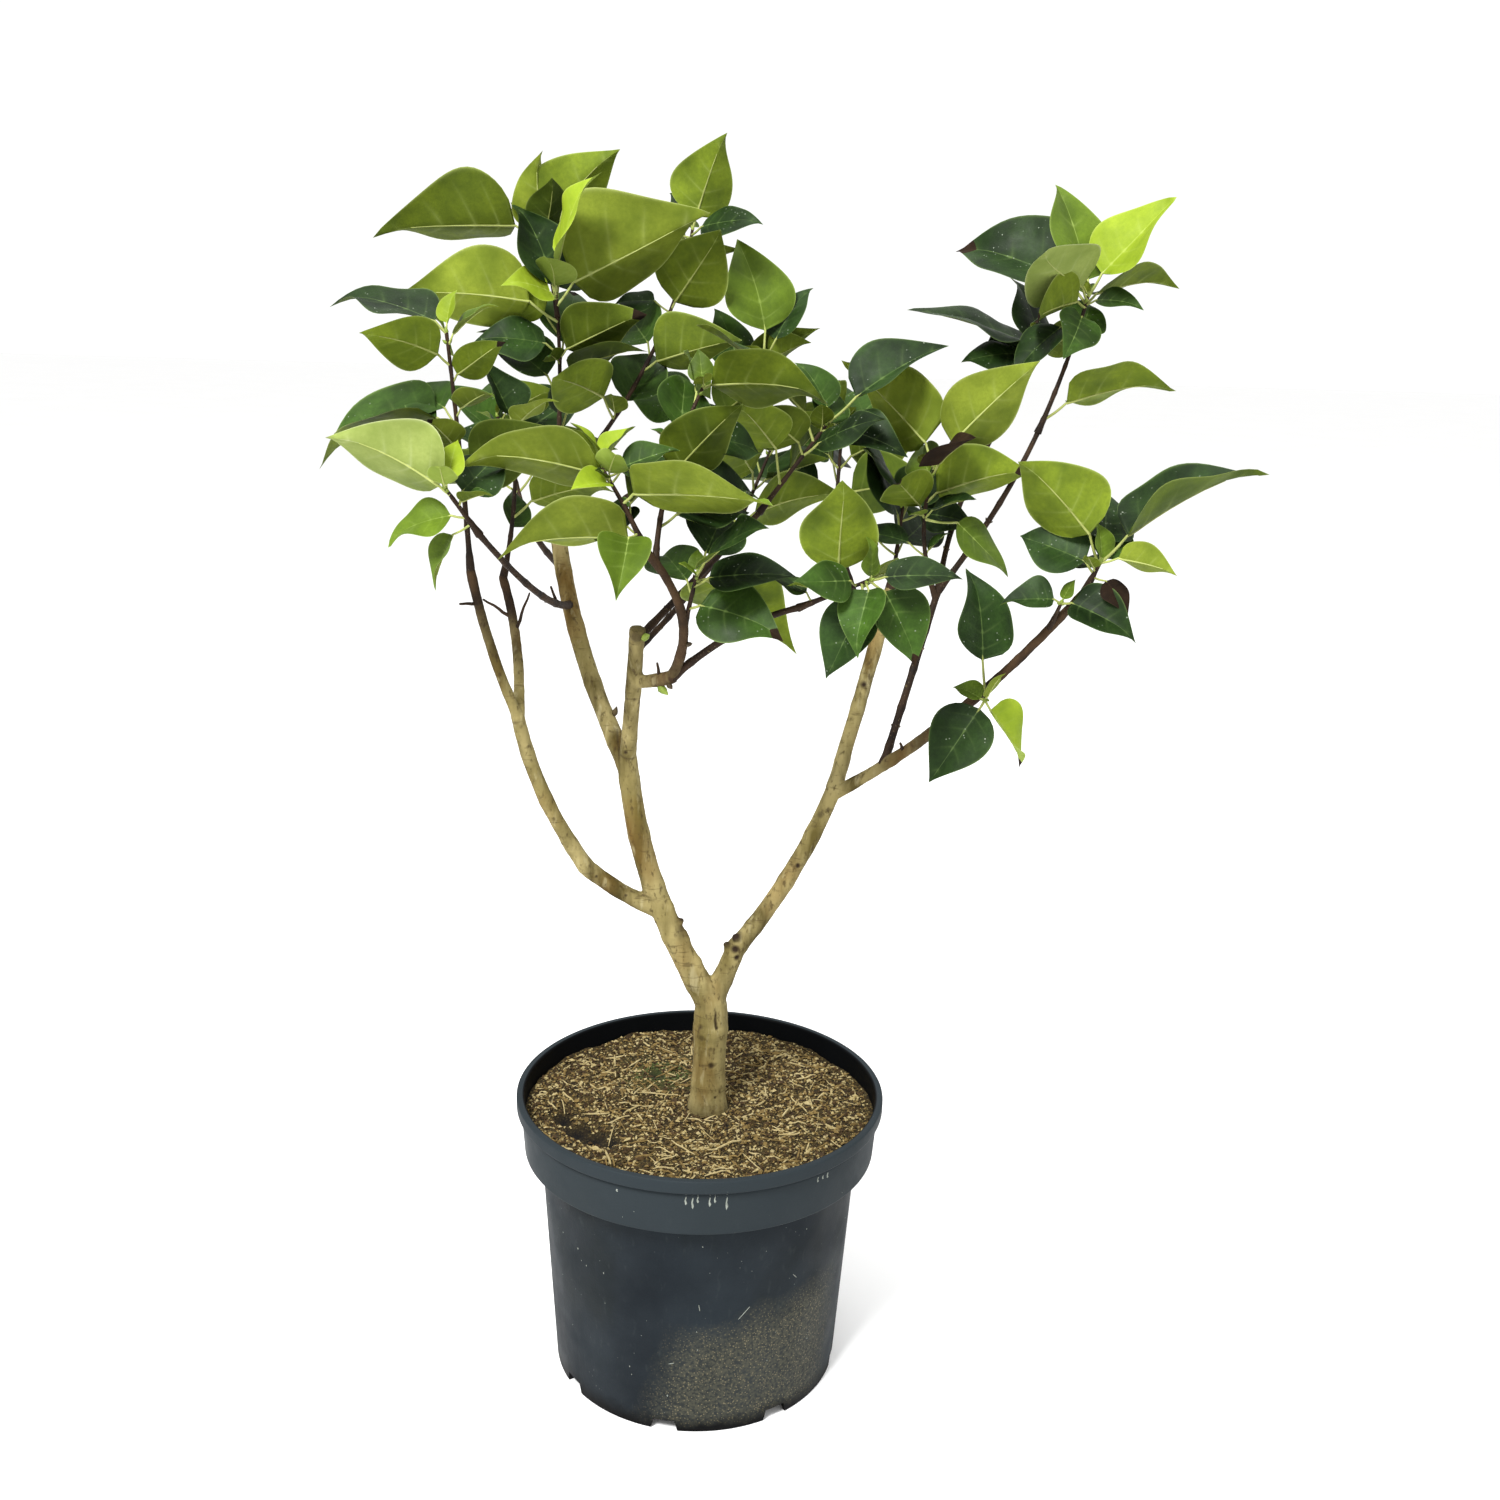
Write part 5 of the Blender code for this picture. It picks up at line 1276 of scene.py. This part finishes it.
# Cracks: a limb, where each starts and ends as (place, turn), and its width and depth
Crack = namedtuple("Crack", "limb start end width depth")
CRACKS = [Crack(*row) for row in (
    ("trunk", (0.99, 14), (0.80, 22), 0.0011, 0.0016),
    ("right_limb_foot", (0.26, -75), (0.02, -30), 0.0010, 0.0014),
    ("trunk", (0.44, -30), (0.46, 25), 0.0008, 0.0006),
    ("left_limb", (0.30, 60), (0.10, 62), 0.0010, 0.0010),
    ("left_limb", (0.26, -55), (0.25, -20), 0.0008, 0.0006),
    ("centre_right_stem", (0.06, -50), (0.05, 60), 0.0009, 0.0006),
    ("centre_left_stem", (0.04, -10), (0.12, 50), 0.0009, 0.0008),
)]


# Where along a limb its bark turns from old and pale to young and dark; elsewhere it is old
TURNS_YOUNG = {
    "left_outer_stem": (0.35, 0.80),
    "left_inner_stem": (0.25, 0.75),
    "knuckle_branch": (0.30, 1.00),
    "arched_front_branch": (-0.40, 0.20),
    "right_outer_bough": (0.05, 0.50),
}


def relief(point):
    """How far the bark stands out: long lumps, ridges along the grain, and fine rings."""
    x, y, z = point
    lumps = noise.noise(Vector((x * 70, y * 70, z * 26)))
    ridges = noise.noise(Vector((x * 260, y * 260, z * 60)))
    rings = noise.noise(Vector((x * 30, y * 30, z * 420)))
    return 0.00042 * lumps + 0.00022 * ridges + 0.00012 * rings


def stub_line(limbs, stub):
    """The line of one stub or twiglet from inside its limb, and its radii."""
    wood = limbs[stub.limb]
    spot, out = wood.on_bark(stub.at, stub.turn)
    way = (out * (1 - stub.lean) + wood.direction(stub.at) * stub.lean).normalized()
    root = spot - out * stub.radii[0] * 0.7
    shares = (0.0, 0.2, 0.4, 0.6, 0.8, 0.96, 1.0)
    line = [root + way * stub.length * share + out * (0.03 * stub.length * math.sin(9 * share))
            for share in shares]
    radii = [stub.radii[0] + (stub.radii[1] - stub.radii[0]) * share for share in shares]
    return line, radii[:-1] + [radii[-1] * 0.5]


def rough_wood(limbs):
    """The trunk and thick boughs as plain tubes, and how young the bark is along them."""
    heap, near = Heap(), []
    for name in THICK:
        wood = limbs[name]
        points, radii = wood.fine(LIMB_STEP, collar=COLLAR_SWELL if name != "trunk" else 0.0)
        radii = np.array(radii)
        if name == "trunk":
            points[0] = points[0] - UP * BARK_SUNK
            left = np.array([(points[-1] - point).length for point in points])
            radii = radii * np.minimum(1.0, FORK_TAPER + (1 - FORK_TAPER) * left / FORK_ROUND)
        if name in ("left_limb", "right_limb_foot"):
            away = np.array([(points[0] - point).length for point in points])
            radii = radii * (1 + FORK_SWELL * np.exp(-away / FORK_REACH))
        low, high = TURNS_YOUNG.get(name, (2.0, 3.0))
        shares = np.linspace(0, 1, len(points))
        near += list(zip(points, np.clip((shares - low) / (high - low), 0, 1)))
        heap.add(*sweep(points, radii, 20))
    for stub in STUBS:
        heap.add(*sweep(*stub_line(limbs, stub), 12))
    return heap, near


def fused(heap):
    """The heap's shapes as one smooth skin."""
    mesh = bpy.data.meshes.new("bark")
    mesh.from_pydata(np.concatenate(heap.points).tolist(), [], heap.faces)
    item = linked("trunk_and_boughs", mesh)
    fuse = item.modifiers.new("fuse", "REMESH")
    fuse.mode = "VOXEL"
    fuse.voxel_size = VOXEL
    slack = item.modifiers.new("slack", "SMOOTH")
    slack.factor = 0.5
    slack.iterations = BARK_SLACK
    apply_all(item)
    return item


def crack_spots(limbs):
    """Points along every crack, with its width and depth."""
    for crack in CRACKS:
        for share in np.linspace(0, 1, 25):
            at, turn = np.array(crack.start) * (1 - share) + np.array(crack.end) * share
            spot, _ = limbs[crack.limb].on_bark(at, turn + 2 * math.sin(7 * share))
            yield spot, crack.width, crack.depth


def bark_youth(places, near):
    """How young the bark is at each place, told from the nearest point of a limb."""
    tree = KDTree(len(near))
    for index, (point, _) in enumerate(near):
        tree.insert(point, index)
    tree.balance()
    return np.array([near[tree.find(place)[1]][1] for place in places])


def weathered(places, limbs):
    """How far the bark stands out at each place, and how dark its foot, knots and cracks are; the
    cracks' dark is partly painted shade that deepens with the crack.
    """
    def distance(spot):
        return np.linalg.norm(places - np.array(spot), axis=1)

    lift = np.array([relief(place) for place in places])
    stain_and_shade = DAMP_STAIN * np.clip(1 - (places[:, 2] - SOIL_LEVEL) / DAMP_HEIGHT, 0, 1)
    for mark in MARKS:
        away = distance(limbs[mark.limb].on_bark(mark.at, mark.turn)[0]) / mark.radius
        close = np.clip(1.25 - away, 0, 1)
        lift += 0.0004 * np.exp(-((away - 1.15) / 0.25) ** 2) - mark.depth * close
        stain_and_shade = np.maximum(stain_and_shade, mark.dark * np.clip(1.6 * close - 0.2, 0, 1))
    for stub in STUBS:
        away = distance(stub_line(limbs, stub)[0][-1]) / (stub.radii[1] * 1.5)
        stain_and_shade = np.maximum(stain_and_shade, stub.dark * np.clip(1.5 - away, 0, 1))
    for spot, width, depth in crack_spots(limbs):
        close = np.clip(1.3 - distance(spot) / width, 0, 1)
        lift = np.minimum(lift, 0.0002 - depth * close)
        # cracks darker the deeper they are: their own dark and painted shade
        stain_and_shade = np.maximum(stain_and_shade, np.clip(1.5 * close, 0, 1) * min(0.95, depth * 700))
    return lift, stain_and_shade


def build_bark(limbs):
    """The trunk and thick boughs fused into one body, with relief, knots, scars and cracks."""
    heap, near = rough_wood(limbs)
    item = fused(heap)
    mesh = item.data
    places, normals = np.zeros(len(mesh.vertices) * 3), np.zeros(len(mesh.vertices) * 3)
    mesh.vertices.foreach_get("co", places)
    mesh.vertex_normals.foreach_get("vector", normals)
    places, normals = places.reshape(-1, 3), normals.reshape(-1, 3)
    lift, stain_and_shade = weathered(places, limbs)
    mesh.vertices.foreach_set("co", (places + normals * lift[:, None]).reshape(-1))
    fill_field(mesh, "stain_and_shade", stain_and_shade)
    fill_field(mesh, "youth", bark_youth(places, near))
    mesh.materials.append(bark_paint())
    mesh.shade_smooth()
    settle(item, THICK)


def turned(name, profile, steps):
    """A solid turned about Z from (radius, height) pairs that run down its outer side."""
    mesh = bpy.data.meshes.new(name)
    points = [(radius, 0.0, height) for radius, height in profile]
    mesh.from_pydata(points, [(i, i + 1) for i in range(len(points) - 1)], [])
    item = linked(name, mesh)
    screw = item.modifiers.new("turn", "SCREW")
    screw.steps = screw.render_steps = steps
    screw.use_merge_vertices = True
    screw.merge_threshold = 0.00001
    apply_all(item)
    return item


def rounded(profile, radius, parts=4):
    """A profile with its corners turned into small arcs."""
    points = [Vector(point) for point in profile]
    result = [points[0]]
    for before, corner, after in zip(points, points[1:], points[2:]):
        room = min(radius, (corner - before).length * 0.45, (after - corner).length * 0.45)
        first = corner + (before - corner).normalized() * room
        last = corner + (after - corner).normalized() * room
        for part in range(parts + 1):
            share = part / parts
            result.append(first.lerp(corner, share).lerp(corner.lerp(last, share), share))
    result.append(points[-1])
    return [tuple(point) for point in result]


def pot_profile():
    """The pot's section: along its floor, up the inside, over the bead and down to its foot."""
    floor_top = FLOOR_LIFT + FLOOR
    taper = (BODY_TOP - FOOT_RADIUS) / STEP_HEIGHT
    return rounded([
        (0.0, floor_top),
        (FOOT_RADIUS - WALL + taper * floor_top, floor_top),
        (BODY_TOP - WALL, STEP_HEIGHT - WALL),
        (BODY_TOP - WALL, STEP_HEIGHT + WALL),
        (COLLAR_FOOT - WALL, STEP_HEIGHT + WALL),
        (COLLAR_TOP - WALL, POT_HEIGHT),
        (RIM_RADIUS, POT_HEIGHT),
        (RIM_RADIUS, POT_HEIGHT - BEAD_HEIGHT),
        (COLLAR_TOP, POT_HEIGHT - BEAD_HEIGHT),
        (COLLAR_TOP - POT_GROOVE, POT_HEIGHT - BEAD_HEIGHT - 0.0012),
        (COLLAR_TOP - 0.0001, POT_HEIGHT - BEAD_HEIGHT - 0.0030),
        (COLLAR_FOOT, STEP_HEIGHT),
        (BODY_TOP, STEP_HEIGHT),
        (FOOT_RADIUS, 0.0),
        (FOOT_RADIUS - RING_WALL, 0.0),
        (FOOT_RADIUS - RING_WALL, FLOOR_LIFT),
        (0.0, FLOOR_LIFT),
    ], POT_ROUNDING)


def drain_blocks():
    """A block for each notch at the pot's foot, in a collection of their own."""
    cutters = bpy.data.collections.new("drains")
    bpy.context.scene.collection.children.link(cutters)
    for index in range(DRAIN_COUNT):
        angle = math.radians(DRAIN_FIRST) + 2 * math.pi * index / DRAIN_COUNT
        body = bmesh.new()
        size = Matrix.Diagonal((DRAIN_DEPTH, DRAIN_WIDTH, 2 * DRAIN_HEIGHT, 1.0))
        bmesh.ops.create_cube(body, size=1.0, matrix=size)
        for vert in body.verts:
            vert.co.y *= DRAIN_SLANT[vert.co.z > 0]
        body.transform(Matrix.Rotation(angle, 4, "Z") @ Matrix.Translation((FOOT_RADIUS, 0, 0)))
        mesh = bpy.data.meshes.new("drain")
        body.to_mesh(mesh)
        body.free()
        cutters.objects.link(bpy.data.objects.new("drain_%d" % index, mesh))
    return cutters


def build_pot():
    """The pot: a thin turned wall with a beaded rim, a flared collar and drain notches."""
    pot = turned("pot", pot_profile(), POT_STEPS)
    cutters = drain_blocks()
    cut = pot.modifiers.new("drains", "BOOLEAN")
    cut.operand_type = "COLLECTION"
    cut.collection = cutters
    cut.solver = "EXACT"
    apply_all(pot)
    for cutter in list(cutters.objects):
        bpy.data.objects.remove(cutter, do_unlink=True)
    bpy.data.collections.remove(cutters)
    pot.data.materials.clear()
    pot.data.materials.append(pot_paint())
    pot.data.shade_smooth()
    pot.data.set_sharp_from_angle(angle=math.radians(40))
    settle(pot, ("pot",))


def soil_height(x, y):
    """How high the compost lies: low mounds, a few holes, a dip at the wall, calm at the trunk."""
    away = math.hypot(x - TRUNK_FOOT.x, y - TRUNK_FOOT.y)
    calm = min(1.0, max(0.15, (away - 0.02) / 0.04))
    height = 0.0040 * noise.noise(Vector((x * 26, y * 26, 0.5)))
    height += 0.0018 * noise.noise(Vector((x * 90, y * 90, 3.5)))
    height += 0.0009 * noise.noise(Vector((x * 330, y * 330, 7.5)))
    for hole_x, hole_y, radius, depth in SOIL_HOLES:
        height -= depth * math.exp(-((x - hole_x) ** 2 + (y - hole_y) ** 2) / radius ** 2)
    return SOIL_LEVEL + height * calm


def circle(radius, steps):
    """Points evenly round a circle."""
    turns = [2 * math.pi * step / steps for step in range(steps)]
    return [(radius * math.cos(turn), radius * math.sin(turn)) for turn in turns]


def build_bed(edge):
    """The compost that fills the pot: a rough top, and walls just inside the pot's."""
    rings, steps = BED_RINGS, BED_STEPS
    points = [(0, 0, soil_height(0, 0))]
    for ring in range(1, rings + 1):
        points += [(x, y, soil_height(x, y)) for x, y in circle(edge * ring / rings, steps)]
    inset = WALL + GAP
    body_wall = BODY_TOP - inset - GAP
    foot_wall = FOOT_RADIUS - inset - GAP + 0.02 * FLOOR_LIFT
    walls = ((COLLAR_FOOT - inset, STEP_HEIGHT + inset), (body_wall, STEP_HEIGHT + inset),
             (body_wall, STEP_HEIGHT - inset), (foot_wall, FLOOR_LIFT + FLOOR + GAP))
    for radius, height in walls:
        points += [(x, y, height) for x, y in circle(radius, steps)]
    faces = [(0, 1 + step, 1 + (step + 1) % steps) for step in range(steps)]
    for low in range(1, 1 + (rings + len(walls) - 1) * steps, steps):
        for step in range(steps):
            after = (step + 1) % steps
            faces.append((low + step, low + steps + step, low + steps + after, low + after))
    faces.append(tuple(range(len(points) - 1, len(points) - 1 - steps, -1)))
    spots = np.array(points)

    def near(x, y, radius):
        return np.exp(-((spots[:, 0] - x) ** 2 + (spots[:, 1] - y) ** 2) / radius ** 2)

    moss = near(*MOSS_PATCH) * [0.75 + 0.9 * noise.noise(Vector(point) * 160) for point in points]
    # painted shade: near each hole, and nearly full on the sides down at the pot's wall
    hole = np.max([near(*spot[:3]) for spot in SOIL_HOLES], axis=0)
    hole[-len(walls) * steps:] = 0.9
    bed = Heap()
    bed.add(points, faces, 0, moss=np.clip(moss, 0, 1), hole=hole)
    bed.piece("compost_bed", [soil_paint()], "compost", ("compost",))


def scattered(chance, edge):
    """A place on the compost, clear of the trunk and seldom in a hole."""
    while True:
        radius, turn = edge * math.sqrt(chance.random()), chance.uniform(0, 2 * math.pi)
        x, y = radius * math.cos(turn), radius * math.sin(turn)
        if math.hypot(x - TRUNK_FOOT.x, y - TRUNK_FOOT.y) < TRUNK_RADII[0] + FLARE_PROUD:
            continue
        in_hole = any(math.hypot(x - hole[0], y - hole[1]) < hole[2] for hole in SOIL_HOLES)
        if in_hole and chance.random() < HOLE_SKIP:
            continue
        return Vector((x, y, soil_height(x, y)))


CORNERS = ((1, 0, 0), (0, 1, 0), (-1, 0, 0), (0, -1, 0), (0, 0, 1), (0, 0, -1))
# the eight faces of an octahedron with those corners
FACETS = ([(side, (side + 1) % 4, 4) for side in range(4)]
          + [((side + 1) % 4, side, 5) for side in range(4)])


def add_grain(heap, chance, spot, sizes, slot):
    """One rough bit: an octahedron pulled about, laid at a random turn."""
    turn = Matrix.Rotation(chance.uniform(0, 6.3), 3, "Z")
    turn @= Matrix.Rotation(chance.gauss(0, 0.5), 3, "X")
    points = []
    for corner in CORNERS:
        pulled = Vector(corner) * chance.uniform(0.7, 1.25)
        shaped = Vector(part * size for part, size in zip(pulled, sizes))
        points.append(spot + turn @ shaped)
    heap.add(points, FACETS, slot)


def add_straw(heap, chance, edge):
    """One slightly bent straw that lies on the compost."""
    length = chance.uniform(0.005, 0.014) * (1 + 1.4 * chance.random() ** 3)
    spot = scattered(chance, edge - length)
    way = heading(chance.uniform(0, 360))
    side = Vector((-way.y, way.x, 0)) * chance.uniform(-0.10, 0.10)
    lift = chance.uniform(0.0006, 0.0018)
    line = []
    for share in (-0.5, -0.25, 0, 0.25, 0.5):
        place = spot + way * length * share + side * length * (0.25 - share * share)
        place.z = soil_height(place.x, place.y) + lift + chance.uniform(-0.0002, 0.0002)
        line.append(place)
    radius = chance.uniform(0.00030, 0.00085)
    radii = [radius * part for part in (0.6, 1, 1, 1, 0.5)]
    heap.add(*sweep(line, radii, 5), chance.choice((0, 0, 1)))


def scatter(edge):
    """Grains, flat chips and straws over the compost."""
    chance = random.Random(5)
    grains, chips, straws = Heap(), Heap(), Heap()
    for _ in range(GRAIN_COUNT):
        size = chance.uniform(0.0006, 0.0015) * (1 + (chance.random() ** 6))
        spot = scattered(chance, edge - 0.002) + UP * size * 0.35
        mossy = math.hypot(spot.x - MOSS_PATCH[0], spot.y - MOSS_PATCH[1]) < MOSS_PATCH[2] * 0.8
        slot = 3 if mossy and chance.random() < 0.45 else chance.choice((0, 0, 1, 1, 2, 2, 2))
        add_grain(grains, chance, spot, (size, size * 0.8, size * 0.7), slot)
    for _ in range(CHIP_COUNT):
        length = chance.uniform(0.0013, 0.0030) * (1 + 0.9 * chance.random() ** 5)
        spot = scattered(chance, edge - 0.004) + UP * 0.0012
        add_grain(chips, chance, spot, (length, length * chance.uniform(0.25, 0.5), 0.0005),
                  chance.choice((0, 1, 1, 2)))
    for _ in range(STRAW_COUNT):
        add_straw(straws, chance, edge)
    paints = [plain_paint("compost_" + name, *looks) for name, *looks in BIT_TONES]
    pale, tan, brown, moss, straw = paints
    grains.piece("compost_grains", [pale, tan, brown, moss], "compost")
    chips.piece("compost_chips", [pale, tan, brown], "compost")
    straws.piece("compost_straw", [straw, tan], "compost")


def wall_spot(bearing, height):
    """A point on the pot's outer wall and the way out of it."""
    out = heading(bearing)
    if height > STEP_HEIGHT:
        radius = COLLAR_FOOT + COLLAR_FLARE * (height - STEP_HEIGHT) / COLLAR_HEIGHT
    else:
        radius = FOOT_RADIUS + (BODY_TOP - FOOT_RADIUS) * height / STEP_HEIGHT
    return out * radius + UP * height, out


def build_drips():
    """Dried drips, stuck straws and flecks on the pot's outer wall."""
    chance = random.Random(12)
    drips = Heap()
    for bearing, top, length in DRIPS:
        line = []
        for part in range(5):
            spot, out = wall_spot(bearing + 0.12 * math.sin(2.5 * part), top - length * part / 4)
            line.append(spot - out * 0.00012)
        drips.add(*sweep(line, [DRIP_RADIUS * wide for wide in (0.5, 1, 1, 1.2, 0.5)], 6))
    for bearing, height, length, lean in WALL_STRAWS:
        way = heading(lean) * length
        across = math.degrees(way.x / FOOT_RADIUS)
        line = [wall_spot(bearing + across * share, height + way.y * share)[0]
                for share in (0, 0.5, 1)]
        drips.add(*sweep(line, [0.0002, 0.00032, 0.00018], 6))
    for _ in range(FLECK_COUNT):
        height = 0.02 + 0.19 * chance.random() ** 0.8
        spot, out = wall_spot(chance.uniform(0, 360), min(height, FLECK_TOP))
        if FLECK_FREE[0] < spot.z < FLECK_FREE[1]:
            continue
        size = chance.uniform(0.00025, 0.0006)
        side = Vector((-out.y, out.x, 0)) * size
        points = [spot + out * (x * 0.00018) + side * y + UP * (z * size * chance.uniform(0.8, 2.4))
                  for x, y, z in CORNERS]
        drips.add(points, FACETS)
    drips.piece("pot_drips", [plain_paint("dried_lime", "b9bfb4", "8f968c", 300)], "pot")


def build_stage():
    """A pale floor, soft lights and the photo's camera."""
    body = bmesh.new()
    bmesh.ops.create_grid(body, x_segments=2, y_segments=2, size=20.0)
    mesh = bpy.data.meshes.new("floor")
    body.to_mesh(mesh)
    body.free()
    paint = Paint("floor", 0.9, 0.1)
    paint.base = paint.mix(paint.noise(3), (0.92, 0.92, 0.91), (0.95, 0.95, 0.95))
    mesh.materials.append(paint.finish())
    floor = linked("floor", mesh)
    scene = bpy.context.scene
    scene.world = bpy.data.worlds.new("studio")
    scene.world.use_nodes = True
    back = scene.world.node_tree.nodes["Background"]
    back.inputs["Color"].default_value = (1.0, 1.0, 1.0, 1.0)
    back.inputs["Strength"].default_value = WORLD_LIGHT
    for name, place, size, power in LAMPS:
        lamp = bpy.data.lights.new(name, "AREA")
        lamp.size = size
        lamp.energy = power
        item = linked(name, lamp)
        item.location = place
        item.rotation_euler = (LAMP_AIM - Vector(place)).to_track_quat("-Z", "Y").to_euler()
    scene.view_settings.view_transform = "Standard"
    camera = bpy.data.cameras.new("camera")
    camera.sensor_width = SENSOR_WIDTH
    camera.lens = SENSOR_WIDTH * FOCAL_PIXELS / FRAME_PIXELS
    scene.camera = linked("camera", camera)
    scene.camera.matrix_world = (Matrix.Translation(CAMERA_PLACE)
                                 @ Matrix.Rotation(math.radians(90 - CAMERA_PITCH), 4, "X")
                                 @ Matrix.Rotation(math.radians(CAMERA_ROLL), 4, "Z"))


def main():
    """Build every piece."""
    build_stage()
    limbs = grow_limbs()
    stems, grown = grow_masses(limbs)
    build_bark(limbs)
    build_shoots(limbs, stems)
    paints = leaf_paints()
    stalk_paints = [stalk_paint("stalk_old", "bcc46e", "9ba452"),
                    stalk_paint("stalk_young", "d6df86", "bac666")]
    for number, group in enumerate(CROWN_PARTS):
        build_leaves(group, number, grown, paints, stalk_paints)
    build_pot()
    build_drips()
    edge = COLLAR_FOOT - WALL - GAP + COLLAR_FLARE / COLLAR_HEIGHT * (SOIL_LEVEL - STEP_HEIGHT)
    build_bed(edge)
    scatter(edge)


main()
